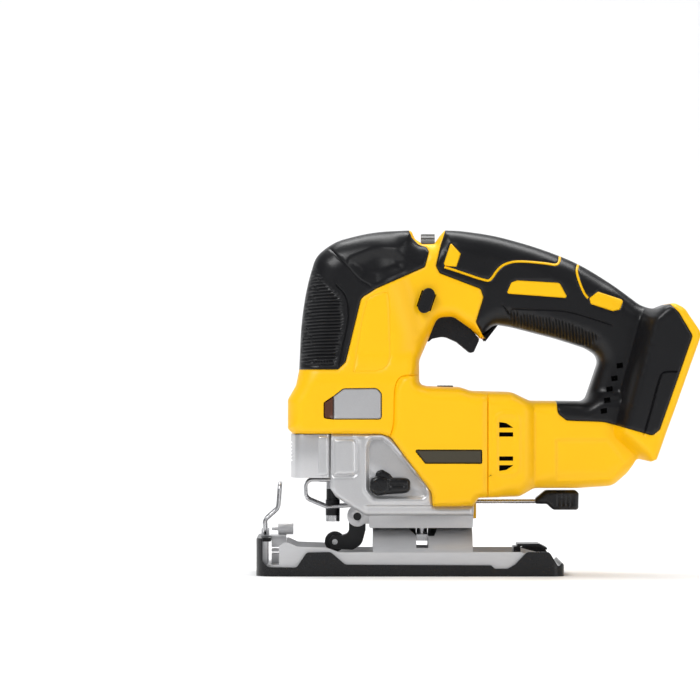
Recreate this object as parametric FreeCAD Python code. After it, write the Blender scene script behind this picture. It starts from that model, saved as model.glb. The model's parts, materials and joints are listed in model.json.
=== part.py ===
"""Cordless top-handle jigsaw, bare tool without its battery, in millimetres.

Frame: the origin is the centre of the shoe's underside. +X runs to the rear, from the nose to
the battery foot, +Z is up, and the tool's two sides face -Y (left) and +Y (right).
Side outlines are lists of (x, z, corner radius). Each piece is one node in parts/.
"""

import math
import os

import FreeCAD
import Part

os.makedirs("parts", exist_ok=True)
Vector = FreeCAD.Vector

# ---------------------------------------------------------------- driving sizes
WALL = 3.0                 # moulded housing wall under a rubber skin
GRIP_SKIN = 1.5            # rubber moulded over the housing
CAVITY = WALL + GRIP_SKIN  # how far the hollow lies inside the outer shape
FIT_GAP = 0.3              # clearance between pieces that move past each other
RUN_GAP = 0.05             # radial running clearance of a shaft

HEAD_HALF_WIDTH = 28.0     # nose and gear head
COLUMN_HALF_WIDTH = 24.5   # front column above the nose
HANDLE_HALF_WIDTH = 18.0
MOTOR_HALF_WIDTH = 30.0
FAN_HALF_WIDTH = 29.0
TAIL_HALF_WIDTH = 24.5
FOOT_HALF_WIDTH = 36.5     # battery foot

MOTOR_Z = 70.5             # height of the motor axis
PINION_TEETH = 8
GEAR_TEETH = 43
GEAR_MODULE = 1.0
GEAR_DISTANCE = GEAR_MODULE * (PINION_TEETH + GEAR_TEETH) / 2
GEAR_Z = MOTOR_Z + GEAR_DISTANCE
GEAR_X = -24.0             # front face of the gear
GEAR_WIDTH = 7.0
CRANK_RADIUS = 13.0        # half of the blade stroke
CRANK_PIN_RADIUS = 3.0

PLUNGER_X = -42.0
PLUNGER_RADIUS = 3.5
PLUNGER_LOW = 33.0         # lower end of the rod at the bottom of the stroke
PLUNGER_TOP = 130.5
PIN_LOW = GEAR_Z - CRANK_RADIUS             # crank pin at the bottom of the stroke
YOKE_X = (-37.0, -32.6)                     # slotted cross-piece that the pin drives
YOKE_HALF_HEIGHT = 6.0
ORBIT = CRANK_RADIUS + CRANK_PIN_RADIUS     # radius that the crank pin sweeps
YOKE_HALF_WIDTH = ORBIT + 3.0
WEIGHT_HALF_WIDTH = ORBIT + 6.0            # counterweight in front of the gear
WEIGHT_X = (-30.5, -26.5)
WEIGHT_LOW = PIN_LOW - 15.0
WEIGHT_SHARE = 0.3         # travel of the counterweight for each unit of the plunger's
BUSH_RADIUS = 6.5
LOWER_BUSH = (67.3, PIN_LOW - YOKE_HALF_HEIGHT - 0.7)
UPPER_BUSH = (119.5, 129.0)
COLLAR_RADIUS = 3.9
COLLAR_LOW = 28.5          # lowest edge of the blade collar at the bottom of the stroke
COLLAR_HEIGHT = 12.0
BLADE_SLOT = (6.6, 1.7)    # length and width of the slot for the blade's shank

CASE_HALF_WIDTH = 26.0     # die-cast gear case
CASE_WALL = 3.2
KEEL_HALF_WIDTH = 13.0     # its keel over the bevel arch
KEEL_FRONT = -22.0
KEEL_LOW = 25.3
LEVER_HALF_WIDTH = 25.0    # blade clamp lever
LEVER_CORNER = 3.3
LEVER_PIN_RADIUS = 1.5
LEVER_REAR = -43.5
LEVER_PIN = (LEVER_REAR - LEVER_CORNER, LEVER_HALF_WIDTH - LEVER_CORNER)
LEVER_Z = (53.0, 76.7)

SHOE_HALF_WIDTH = 36.0
SHOE_SHEET = 3.0
SHOE_WALL_TOP = 13.0
COVER_SHEET = 3.0          # plastic overshoe under and beside the metal shoe
SKIRT = 2.5
ARCH_RADIUS = KEEL_LOW - FIT_GAP
ARCH_SHEET = 2.6
BEVEL_RANGE = 45.0
SLOT_HALF_WIDTH = 14.5     # opening of the shoe around the blade guide
SLOT_X = (-66.0, -21.0)

BEVEL_PIVOT_X = 7.0        # clamp bolt and lever
BOLT_RADIUS = 3.0
BEVEL_LEVER_Z = 39.5
BEVEL_ROD_RADIUS = 1.1
BEVEL_LEVER_SWEEP = [(8, 2.4), (47, 2.4), (47, -25.5), (8, -3.5)]   # plan of the space it swings in
GUIDE_PIN = (-28.5, 31.5)
GUIDE_PIN_RADIUS = 2.2
GUIDE_HALF_WIDTH = 5.2
ROLLER = (-40.8, 17.4)
ROLLER_RADIUS = 5.6
ROLLER_HALF_WIDTH = 2.6
ROLLER_PIN_RADIUS = 1.5

TRIGGER_PIVOT = (16.2, 144.0)
TRIGGER_HALF_WIDTH = 8.5
TRIGGER_PIN_RADIUS = 1.5
LOCK_ENDS = ((8.0, 146.3), (10.3, 153.0))
LOCK_RADIUS = 3.5
LOCK_TRAVEL = 4.0
DIAL_X = (6.5, 14.0)
DIAL_Z = 174.5
DIAL_RADIUS = 12.0
DIAL_AXLE_RADIUS = 1.5
BLOWER_X = (15.5, 24.0)
BLOWER_TRAVEL = 4.0

STATOR_X = (18.5, 37.5)
STATOR_RADIUS = 24.0
ROTOR_RADIUS = 13.0
AIR_GAP = 0.6
SHAFT_RADIUS = 2.5
FAN_X = (46.0, 55.0)
FAN_RADIUS = 21.0
FRONT_BEARING = (-13.0, -7.0, 8.0)      # x from, x to, outer radius
REAR_BEARING = (57.4, 61.9, 6.5)
SCREW_RADIUS = 1.8
SCREW_HEAD_RADIUS = 3.5
SCREW_HEAD = 2.4
BOSS_RADIUS = 4.0


# ---------------------------------------------------------------- shape helpers
def corner_path(points):
    """Straight edges joined by tangent arcs through 2-D points (a, b, corner radius)."""
    count = len(points)
    joints = []
    for i in range(count):
        before = Vector(points[i - 1][0], points[i - 1][1], 0)
        here = Vector(points[i][0], points[i][1], 0)
        after = Vector(points[(i + 1) % count][0], points[(i + 1) % count][1], 0)
        radius = points[i][2] if len(points[i]) > 2 else 0
        back = before - here
        on = after - here
        turn = math.pi - back.getAngle(on)
        reach = radius * math.tan(turn / 2)
        reach = min(reach, 0.49 * back.Length, 0.49 * on.Length)
        if reach < 0.02:
            joints.append((here, here, here))
            continue
        back.normalize()
        on.normalize()
        start = here + back * reach
        end = here + on * reach
        inward = back + on
        inward.normalize()
        bend = reach / math.tan(turn / 2)
        joints.append((start, here + inward * (math.hypot(reach, bend) - bend), end))
    return joints


def outline_face(points, place):
    """A planar face from corner points; place maps a 2-D vector to 3-D."""
    joints = corner_path(points)
    edges = []
    for i, (start, middle, end) in enumerate(joints):
        if (end - start).Length > 1e-6:
            edges.append(Part.Arc(place(start), place(middle), place(end)).toShape())
        following = joints[(i + 1) % len(joints)][0]
        if (following - end).Length > 1e-6:
            edges.append(Part.LineSegment(place(end), place(following)).toShape())
    return Part.Face(Part.Wire(edges))


def side_face(points):
    return outline_face(points, lambda p: Vector(p.x, 0, p.y))


def side_prism(points, y0, y1):
    """A side outline (x, z) run from y0 to y1."""
    face = outline_face(points, lambda p: Vector(p.x, y0, p.y))
    return face.extrude(Vector(0, y1 - y0, 0))


def plan_prism(points, z0, z1):
    """A plan outline (x, y) run from z0 to z1."""
    face = outline_face(points, lambda p: Vector(p.x, p.y, z0))
    return face.extrude(Vector(0, 0, z1 - z0))


def front_prism(points, x0, x1):
    """A front outline (y, z) run from x0 to x1."""
    face = outline_face(points, lambda p: Vector(x0, p.x, p.y))
    return face.extrude(Vector(x1 - x0, 0, 0))


def box(x0, x1, y0, y1, z0, z1):
    return Part.makeBox(x1 - x0, y1 - y0, z1 - z0, Vector(x0, y0, z0))


AXES = {"x": Vector(1, 0, 0), "y": Vector(0, 1, 0), "z": Vector(0, 0, 1)}


def rod(axis, start, end, a, b, radius):
    """A cylinder along an axis from start to end; a and b are its other two coordinates."""
    base = {"x": Vector(start, a, b), "y": Vector(a, start, b), "z": Vector(a, b, start)}[axis]
    return Part.makeCylinder(radius, end - start, base, AXES[axis])


def tube(axis, start, end, a, b, outer, inner):
    return rod(axis, start, end, a, b, outer).cut(rod(axis, start - 1, end + 1, a, b, inner))


def fuse(shapes):
    whole = shapes[0]
    for other in shapes[1:]:
        whole = whole.fuse(other)
    return whole.removeSplitter()


def both_sides(shape):
    return [shape, mirrored(shape)]


def mirrored(shape):
    return shape.mirror(Vector(0, 0, 0), Vector(0, 1, 0))


def screw(axis, head, tip, a, b, shank, cap, cap_height):
    """A pan-head screw whose head starts at head and whose tip is at tip."""
    way = 1 if tip > head else -1
    under = head + way * cap_height
    low, high = sorted((head, under))
    body = rod(axis, low, high, a, b, cap)
    low, high = sorted((under, tip))
    body = body.fuse(rod(axis, low, high, a, b, shank))
    socket_low, socket_high = sorted((head, head + way * cap_height * 0.6))
    return body.cut(rod(axis, socket_low - 0.01, socket_high, a, b, shank * 0.9))


def wire_path(points, radius):
    """A round wire through 3-D points, with tangent arcs at its corners: (x, y, z, bend radius)."""
    edges = []
    last = Vector(*points[0][:3])
    for i in range(1, len(points) - 1):
        here = Vector(*points[i][:3])
        back = Vector(*points[i - 1][:3]) - here
        on = Vector(*points[i + 1][:3]) - here
        turn = math.pi - back.getAngle(on)
        reach = points[i][3] * math.tan(turn / 2)
        back.normalize()
        on.normalize()
        start = here + back * reach
        end = here + on * reach
        inward = back + on
        inward.normalize()
        bend = reach / math.tan(turn / 2)
        middle = here + inward * (math.hypot(reach, bend) - bend)
        edges.append(Part.LineSegment(last, start).toShape())
        edges.append(Part.Arc(start, middle, end).toShape())
        last = end
    edges.append(Part.LineSegment(last, Vector(*points[-1][:3])).toShape())
    path = Part.Wire(edges)
    first = Vector(*points[0][:3])
    way = Vector(*points[1][:3]) - first
    ring = Part.Wire(Part.makeCircle(radius, first, way))
    return path.makePipeShell([ring], True, True)


saved = {}


def save(name, shape):
    """Writes one node; shape may be a list of separate solids."""
    if isinstance(shape, (list, tuple)):
        shape = Part.makeCompound([s for piece in shape for s in piece.Solids])
    solids = shape.Solids
    if len(solids) == 1:
        shape = solids[0]
    bad = [s for s in solids if not s.isValid() or s.Volume <= 0]
    print(f"{name:22s} solids {len(solids)} volume {sum(s.Volume for s in solids):10.1f}"
          + (" INVALID" if bad or not solids else ""))
    shape.exportStep(f"parts/{name}.step")
    saved[name] = shape


# ---------------------------------------------------------------- housing outlines
SILHOUETTE = [
    (-63.5, 77, 1.5), (-66.5, 79.5, 2), (-66.5, 95.5, 3), (-62, 103.5, 6), (-60.3, 112, 8),
    (-59.2, 138, 60), (-56, 158, 40), (-50.8, 175, 9), (-41, 181.5, 12), (-20, 187.2, 40),
    (0, 188.3, 40), (20, 188.3, 40), (46, 185.2, 60), (70, 178.5, 50), (92, 170.5, 40),
    (110, 159.5, 60), (126, 147.5, 12), (133, 144.7, 10), (143.5, 148.3, 3.5), (149.5, 145, 5),
    (158.3, 131.5, 3.5), (134, 63.3, 2.5), (131, 62, 1.5), (124, 63.5, 2), (119, 55.5, 8),
    (111, 48.5, 9), (92, 47.2, 20), (68, 47.2, 6), (60, 42.7, 6), (37.7, 42, 1),
    (34.6, 37.5, 0.5), (12.5, 37.5, 1), (12, 45, 8), (-10.5, 75.5, 6), (-16, 77, 3)]
D_OPENING = [
    (5.4, 117, 8), (5.4, 104, 3), (10, 102.8, 3), (28, 102.3, 8), (34, 100.2, 8), (56, 99.6, 6),
    (66, 94.8, 6), (96.5, 94.5, 3), (104.6, 118.5, 4), (97, 123.6, 8), (80, 129, 30),
    (56, 135.2, 10), (46, 136.8, 3), (40.3, 128.4, 1), (33, 134.7, 6), (24, 141, 6),
    (15.3, 140.5, 5), (10.8, 129.5, 4)]
NOSE = [
    (-63.5, 77, 1.5), (-66.5, 79.5, 2), (-66.5, 95.5, 3), (-62, 103.5, 6), (-60.3, 112, 4),
    (-59.8, 118, 3), (-30, 118, 3), (4.5, 112, 4), (4.5, 80, 2), (2, 77, 1)]
COLUMN = [
    (-62, 92, 2), (-60.8, 108, 2), (-59.2, 138, 60), (-56, 158, 20), (-53, 168, 12), (-5, 172, 14),
    (0, 150, 10), (4.5, 138, 10), (4.5, 92, 2)]
MOTOR_FRONT = [
    (5.3, 108.5, 1), (-4, 108.5, 4), (-8.5, 101, 5), (-8.5, 84, 5), (-10.5, 75.5, 3), (12, 45, 8),
    (12.5, 37.5, 1), (34.6, 37.5, 1), (37.7, 42, 1), (42.5, 42.1, 0), (42.5, 99.9, 0),
    (34, 100.2, 8), (28, 102.3, 8), (10, 102.8, 3), (5.4, 104, 1)]
MOTOR_REAR = [
    (26, 43, 0), (60, 43, 6), (67, 46.8, 0), (67, 94.8, 0), (65.5, 95.2, 0), (56, 99.6, 6),
    (26, 99.9, 0)]
TAIL = [
    (50, 48, 0), (92, 47.2, 20), (111, 48.5, 9), (119, 55.5, 8), (124, 63.5, 2), (131, 66, 1),
    (131, 92, 6), (125, 94.4, 6), (50, 94.6, 0)]
FOOT = [
    (110, 76, 6), (128, 146, 4), (133, 144.7, 6), (143.5, 148.3, 3.5), (149.5, 145, 5),
    (158.3, 131.5, 3.5), (134, 63.3, 2.5), (131, 62, 1.5), (123, 64, 4)]
FRONT_GRIP_ZONE = [
    (-75, 112, 0), (-39, 112, 2), (-34.8, 116, 3), (-26.3, 151, 4), (-18, 156.2, 4), (8.5, 168, 2),
    (10.8, 176.5, 2), (9.3, 179, 1), (5, 180.5, 1), (1.5, 184, 1), (-3, 195, 0), (-75, 195, 0)]
HANDLE_GRIP_ZONE = [
    (22, 195, 0), (17, 180, 4), (14.3, 168.5, 3), (16.5, 164.5, 2), (38.8, 156, 2), (40.3, 151.5, 1),
    (36.2, 138, 1.5), (42, 127, 0), (100, 120, 0), (127, 151, 0), (127, 195, 0)]
POST_ZONE = [
    (77, 96, 0), (80.2, 94.6, 0), (80.6, 88, 4), (85.5, 84.2, 3), (106, 83.5, 20), (131.5, 76.2, 3),
    (135.5, 79.5, 3), (153.4, 130.5, 3), (146, 143, 3), (139, 150, 0), (127, 151, 0),
    (100, 120, 0), (90, 100, 0)]
REGIONS = [(NOSE, HEAD_HALF_WIDTH), (COLUMN, COLUMN_HALF_WIDTH), (MOTOR_FRONT, MOTOR_HALF_WIDTH),
           (MOTOR_REAR, FAN_HALF_WIDTH), (TAIL, TAIL_HALF_WIDTH), (FOOT, FOOT_HALF_WIDTH)]

FACE_LOW = Vector(134, 0, 63.3)          # the battery face is a straight slope
FACE_HIGH = Vector(158.3, 0, 131.5)
FACE_LENGTH = (FACE_HIGH - FACE_LOW).Length
FACE_TILT = math.degrees(math.atan2(FACE_HIGH.x - FACE_LOW.x, FACE_HIGH.z - FACE_LOW.z))
CHANNEL_DEPTH = 13.0
CHANNEL_HALF_WIDTH = 22.0
RAIL_GROOVE = 5.0                        # how far the rail grooves reach to each side
RAIL_LIP = 4.0
RAIL_HEIGHT = 4.5


def inset(points, distance, half_width):
    """A prism whose outline is moved in by distance (out if negative), centred on y = 0."""
    face = side_face(points)
    if distance:
        face = face.makeOffset2D(-distance, 0, False, False, False)
    face.translate(Vector(0, -half_width, 0))
    return face.extrude(Vector(0, 2 * half_width, 0))


def housing_block(depth):
    """The whole housing outline, moved in by depth on every side."""
    block = inset(SILHOUETTE, depth, HANDLE_HALF_WIDTH - depth)
    for points, half_width in REGIONS:
        block = block.fuse(inset(points, depth, half_width - depth))
    return block.cut(inset(D_OPENING, -depth, 60))


def on_face(shape):
    """Moves a shape drawn along Z, with its outside at +X, onto the battery face."""
    shape.rotate(Vector(0, 0, 0), Vector(0, 1, 0), FACE_TILT)
    shape.translate(FACE_LOW)
    return shape


def battery_channel(grow):
    """The space that the battery's slide fills, open at the lower end and at the face."""
    top = FACE_LENGTH - 5 + grow
    depth = CHANNEL_DEPTH + grow
    middle = box(-depth, 8, -CHANNEL_HALF_WIDTH - grow, CHANNEL_HALF_WIDTH + grow, -9, top)
    reach = CHANNEL_HALF_WIDTH + RAIL_GROOVE + grow
    groove = box(-RAIL_LIP - RAIL_HEIGHT - grow, -RAIL_LIP + grow, -reach, reach, -9, top)
    return on_face(middle.fuse(groove))


# ---------------------------------------------------------------- housing and what is inside
SCREWS = [(-56.5, 87, HEAD_HALF_WIDTH), (-47, 167, HANDLE_HALF_WIDTH), (-6, 158, COLUMN_HALF_WIDTH),
          (-3, 111, HEAD_HALF_WIDTH), (68, 57, TAIL_HALF_WIDTH), (68, 86, TAIL_HALF_WIDTH),
          (111, 57, TAIL_HALF_WIDTH), (52, 160, HANDLE_HALF_WIDTH), (98, 151, HANDLE_HALF_WIDTH),
          (132, 137, FOOT_HALF_WIDTH)]
TRIGGER_SLOT = [(8.3, 124), (8.3, 149.5), (43, 149.5), (43, 126), (20, 112)]
DIAL_NOTCH = [(0, 191, 0), (3.2, 183.5, 2), (7, 181, 2), (14, 181.2, 2), (16.5, 185, 2), (20, 191, 0)]
LEFT_BADGE = [(-41.5, 85.2, 0.3), (-41.5, 97.3, 0.3), (-36, 101.5, 2), (-18, 101.7, 2.5),
              (-15.5, 99, 2), (-15.5, 87.5, 2), (-17.8, 85.2, 1)]
BADGE_LENS = [(-46.5, 85.8, 1), (-46.5, 94, 1), (-41.5, 97.3, 0.3), (-41.5, 85.2, 0.3)]
SIDE_PLATE = [(3, 68.2, 0.5), (39, 68.2, 0.5), (39, 61.2, 0.5), (8.5, 61.2, 0.5)]
INLAYS = [
    [(22.5, 181.3, 0.6), (28, 175.3, 1), (25.6, 168.2, 0.6), (19.3, 168.6, 0.6), (18.8, 170, 0.6)],
    [(53, 153.5, 1), (55.6, 159.6, 1.5), (59, 160.7, 2), (82, 159.3, 2), (86.5, 151, 1)],
    [(98.2, 151, 1), (103, 154.6, 1), (117, 150, 1.5), (115, 144.8, 1.5), (111, 143.9, 1),
     (99, 147.8, 1)]]
PLATE_DEPTH = 1.0
PLATE_PROUD = 0.3
BADGE_FACE = HEAD_HALF_WIDTH
VENT_ROWS = (59.5, 63.5, 77, 81.5)
VENT_X = (49, 55.5)
POST_VENTS = [(114.5, 114.5), (112, 107), (109.5, 101.5)]


def plates(points, face):
    """A thin plate let into both sides at the given half-width."""
    low = -face - PLATE_PROUD
    return both_sides(side_prism(points, low, low + PLATE_DEPTH))


def lock_button():
    (x0, z0), (x1, z1) = LOCK_ENDS
    left = -HANDLE_HALF_WIDTH - LOCK_TRAVEL

    def body(radius, start, end):
        across = Vector(z1 - z0, 0, x0 - x1)
        across.normalize()
        corners = [Vector(x0, start, z0) + across * radius, Vector(x1, start, z1) + across * radius,
                   Vector(x1, start, z1) - across * radius, Vector(x0, start, z0) - across * radius]
        web = Part.Face(Part.makePolygon(corners + corners[:1])).extrude(Vector(0, end - start, 0))
        return fuse([web, rod("y", start, end, x0, z0, radius), rod("y", start, end, x1, z1, radius)])

    return body(LOCK_RADIUS, left, HANDLE_HALF_WIDTH), body(LOCK_RADIUS + FIT_GAP, -60, 60)


def trigger():
    points = [(9.8, 126.3, 1), (12.5, 128.8, 2), (19, 130.1, 8), (26, 126.9, 4), (33.2, 120.9, 2),
              (35.4, 121.6, 1), (38.6, 128.6, 2), (31, 137.5, 3), (28.5, 147.5, 1.5),
              (12.9, 147.5, 2), (12.9, 139.5, 2), (9.3, 133, 2)]
    body = side_prism(points, -TRIGGER_HALF_WIDTH, TRIGGER_HALF_WIDTH)
    x, z = TRIGGER_PIVOT
    return body.cut(rod("y", -20, 20, x, z, TRIGGER_PIN_RADIUS + RUN_GAP))


def housing_skins(outer, inner):
    """The three rubber skins, each the outer layer of the housing within its zone."""
    layer = outer.cut(inner)
    return [layer.common(side_prism(zone, -60, 60))
            for zone in (FRONT_GRIP_ZONE, HANDLE_GRIP_ZONE, POST_ZONE)]


def housing_shell(outer, skins, cuts):
    shell = outer
    keep = inset(D_OPENING, -CAVITY, 60).fuse(battery_channel(WALL))
    for points, half_width in REGIONS + [(SILHOUETTE, HANDLE_HALF_WIDTH)]:
        shell = shell.cut(inset(points, CAVITY, half_width - CAVITY).cut(keep))
    for skin in skins:
        shell = shell.cut(skin)
    inside = housing_block(CAVITY / 2)
    ribs = []
    for x, z, half_width in SCREWS:
        reach = half_width - CAVITY / 2
        ribs.append(rod("y", -reach, reach, x, z, BOSS_RADIUS))
    for x in (STATOR_X[0] + 3, STATOR_X[1] - 6):
        ring = box(x, x + 3, -MOTOR_HALF_WIDTH, MOTOR_HALF_WIDTH, 38, 102)
        ribs.append(ring.cut(rod("x", x - 1, x + 4, 0, MOTOR_Z, STATOR_RADIUS)))
    bearing_x0, bearing_x1, bearing_radius = REAR_BEARING
    web = box(bearing_x0, bearing_x1, -FAN_HALF_WIDTH, FAN_HALF_WIDTH, 44, 99)
    ribs.append(web.cut(rod("x", bearing_x0 - 1, bearing_x1 + 1, 0, MOTOR_Z, bearing_radius)))
    for x0, x1 in ((DIAL_X[0] - 3.5, DIAL_X[0] - 0.5), (DIAL_X[1] + 0.5, DIAL_X[1] + 3.5)):
        ribs.append(box(x0, x1, -HANDLE_HALF_WIDTH, HANDLE_HALF_WIDTH, DIAL_Z - 5, 186))
    for x in (80, 98):
        ribs.append(box(x, x + 3, -TAIL_HALF_WIDTH, TAIL_HALF_WIDTH, 46, 61.5))
    for rib in ribs:
        shell = shell.fuse(rib.common(inside))
    shell = shell.fuse(side_prism([(35, 30), (37, 30), (37, 43), (35, 43)], 3, KEEL_HALF_WIDTH))
    for cut in cuts:
        shell = shell.cut(cut)
    return shell


def weight_space():
    """What the counterweight sweeps, with clearance."""
    half_width = WEIGHT_HALF_WIDTH + FIT_GAP
    return box(WEIGHT_X[0] - FIT_GAP, WEIGHT_X[1] + FIT_GAP, -half_width, half_width,
               WEIGHT_LOW - 2 * CRANK_RADIUS * WEIGHT_SHARE - FIT_GAP, GEAR_Z + ORBIT + FIT_GAP)


def housing_cuts(lock_hole):
    """What passes through the housing walls."""
    x, z = TRIGGER_PIVOT
    slot = TRIGGER_HALF_WIDTH + FIT_GAP
    pieces = [
        side_prism(TRIGGER_SLOT, -slot, slot),
        lock_hole,
        rod("y", -14, 14, x, z, TRIGGER_PIN_RADIUS),
        box(DIAL_X[0] - FIT_GAP, DIAL_X[1] + FIT_GAP, -DIAL_RADIUS - 1, DIAL_RADIUS + 1,
            DIAL_Z - DIAL_RADIUS - 1, 191),
        rod("x", DIAL_X[0] - 3, DIAL_X[1] + 3, 0, DIAL_Z, DIAL_AXLE_RADIUS + RUN_GAP),
        battery_channel(0),
        weight_space(),
        rod("x", STATOR_X[0] - FIT_GAP, STATOR_X[1] + FIT_GAP, 0, MOTOR_Z, STATOR_RADIUS),
        box(BLOWER_X[0] - FIT_GAP, BLOWER_X[1] + BLOWER_TRAVEL + FIT_GAP, -10.3, 10.3, 100.2, 106),
        rod("x", -20, 30, 0, MOTOR_Z, FRONT_BEARING[2]),
        box(-38.6, GEAR_X + GEAR_WIDTH + 1, -23.5, 23.5, 70, 90),
        rod("z", 70, 90, PLUNGER_X, 0, BUSH_RADIUS + 2.5),
        rod("z", 70, 79.5, -55, 0, 2.5),
        rod("z", 70, 80.2, *LEVER_PIN, LEVER_PIN_RADIUS),
        plan_prism(BEVEL_LEVER_SWEEP, 36.9, 41.4)]
    for z0 in VENT_ROWS:
        pieces.append(box(*VENT_X, -60, -20, z0 - 1.1, z0 + 1.1))
        pieces.append(box(*VENT_X, 20, 60, z0 - 1.1, z0 + 1.1))
    for x, z, half_width in SCREWS:
        pieces.append(rod("y", half_width - 5, 60, x, z, SCREW_HEAD_RADIUS))
        pieces.append(rod("y", 7 - half_width, half_width - 4, x, z, SCREW_RADIUS))
    return pieces


lock_solid, lock_hole = lock_button()
outer = housing_block(0).cut(side_prism(DIAL_NOTCH, -60, 60))
inner = housing_block(GRIP_SKIN).cut(side_prism(DIAL_NOTCH, -60, 60))
front_skin, handle_skin, post_skin = housing_skins(outer, inner)
shell = housing_shell(outer, [front_skin, handle_skin, post_skin], housing_cuts(lock_hole))
badge = plates(LEFT_BADGE, BADGE_FACE)
lens = plates(BADGE_LENS, BADGE_FACE)
side_plate = plates(SIDE_PLATE, MOTOR_HALF_WIDTH)
inlays = [piece for points in INLAYS for piece in plates(points, HANDLE_HALF_WIDTH)]
for piece in badge + lens + side_plate:
    shell = shell.cut(piece)
for piece in inlays:
    handle_skin = handle_skin.cut(piece)
slot_half_width = TRIGGER_HALF_WIDTH + FIT_GAP
trigger_slot = side_prism(TRIGGER_SLOT, -slot_half_width, slot_half_width)
screw_holes = [rod("y", half_width - 5, 60, x, z, SCREW_HEAD_RADIUS) for x, z, half_width in SCREWS]
for hole in screw_holes:
    front_skin = front_skin.cut(hole)
    handle_skin = handle_skin.cut(hole)
    post_skin = post_skin.cut(hole)
handle_skin = handle_skin.cut(trigger_slot)
post_skin = post_skin.cut(battery_channel(0))
for x, z in POST_VENTS:
    post_skin = post_skin.cut(rod("y", -60, 60, x, z, 1.1))
save("left_housing", shell.common(box(-90, 190, -60, 0, 0, 200)))
save("right_housing", shell.common(box(-90, 190, 0, 60, 0, 200)))
save("front_grip", front_skin)
save("handle_grip", handle_skin)
save("post_cover", post_skin)
save("side_badge", badge)
save("badge_lens", lens)
save("side_plate", side_plate)
save("grip_inlays", inlays)
save("trigger", trigger())
save("trigger_pin", rod("y", -13.5, 13.5, *TRIGGER_PIVOT, TRIGGER_PIN_RADIUS))
save("lock_off_button", lock_solid)

# ---------------------------------------------------------------- controls and electrics
save("switch_module", box(22, 46, -7, 7, 152, 165).fuse(rod("z", 149.4, 152, 24, 0, 2)))
dial = tube("x", *DIAL_X, 0, DIAL_Z, DIAL_RADIUS, DIAL_AXLE_RADIUS)
for turn in range(0, 360, 20):
    groove = rod("x", *DIAL_X, 0, DIAL_Z + DIAL_RADIUS + 0.4, 1.0)
    groove.rotate(Vector(0, 0, DIAL_Z), Vector(1, 0, 0), turn)
    dial = dial.cut(groove)
save("speed_dial", dial)
save("dial_axle", rod("x", DIAL_X[0] - 3, DIAL_X[1] + 3, 0, DIAL_Z, DIAL_AXLE_RADIUS - RUN_GAP))
blower = box(*BLOWER_X, -10, 10, 100.5, 103.2)
for x in (17.5, 19.75, 22.0):
    blower = blower.cut(box(x - 0.4, x + 0.4, -7, 7, 102.6, 104))
save("blower_slider", blower)
save("controller_board", box(76, 106, -15, 15, 61.5, 72))
save("work_light", rod("z", 77.3, 79.5, -55, 0, 2.5))
TERMINAL = (44.0, 62.0)                  # along the battery face from its lower end
floor = -CHANNEL_DEPTH
save("terminal_block", on_face(box(floor, floor + 4, -14, 14, *TERMINAL)))
save("contact_blades", [on_face(box(floor + 4, floor + 10, y - 0.5, y + 0.5, TERMINAL[0] + 3,
                                    TERMINAL[1] - 3)) for y in (-10, -5, 0, 5, 10)])
save("housing_screws", [screw("y", half_width - 4 + SCREW_HEAD, 7 - half_width, x, z, SCREW_RADIUS,
                              SCREW_HEAD_RADIUS, SCREW_HEAD) for x, z, half_width in SCREWS])

# ---------------------------------------------------------------- motor and drive
save("stator", tube("x", *STATOR_X, 0, MOTOR_Z, STATOR_RADIUS, ROTOR_RADIUS + AIR_GAP))
save("rotor_core", tube("x", STATOR_X[0] + 1, STATOR_X[1] - 1, 0, MOTOR_Z, ROTOR_RADIUS, SHAFT_RADIUS))
PINION_X = (GEAR_X - 1, GEAR_X + GEAR_WIDTH + 1)
save("rotor_shaft", rod("x", PINION_X[0] - 1, REAR_BEARING[1] - 0.5, 0, MOTOR_Z, SHAFT_RADIUS))
fan = tube("x", FAN_X[0], FAN_X[0] + 1.6, 0, MOTOR_Z, FAN_RADIUS, SHAFT_RADIUS)
fan = fan.fuse(tube("x", *FAN_X, 0, MOTOR_Z, 6, SHAFT_RADIUS))
for turn in range(0, 360, 36):
    blade = box(FAN_X[0] + 1, FAN_X[1], -0.8, 0.8, MOTOR_Z + 5, MOTOR_Z + FAN_RADIUS - 1)
    blade.rotate(Vector(0, 0, MOTOR_Z), Vector(1, 0, 0), turn)
    fan = fan.fuse(blade)
save("cooling_fan", fan)
save("motor_bearings", [
    tube("x", FRONT_BEARING[0], FRONT_BEARING[1], 0, MOTOR_Z, FRONT_BEARING[2], SHAFT_RADIUS + RUN_GAP),
    tube("x", REAR_BEARING[0], REAR_BEARING[1], 0, MOTOR_Z, REAR_BEARING[2], SHAFT_RADIUS + RUN_GAP)])


def toothed_wheel(teeth, x0, x1, z, bore, phase):
    """A spur wheel with straight-sided teeth, slightly thin so that the mesh has clearance."""
    pitch = GEAR_MODULE * teeth / 2
    root = pitch - 1.35 * GEAR_MODULE
    tip = pitch + 0.75 * GEAR_MODULE
    wheel = rod("x", x0, x1, 0, z, root)
    for i in range(teeth):
        tooth = front_prism([(-0.72, z + root - 0.6), (-0.3, z + tip), (0.3, z + tip),
                             (0.72, z + root - 0.6)], x0, x1)
        tooth.rotate(Vector(0, 0, z), Vector(1, 0, 0), phase + 360 * i / teeth)
        wheel = wheel.fuse(tooth)
    return wheel.cut(rod("x", x0 - 1, x1 + 1, 0, z, bore))


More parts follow.
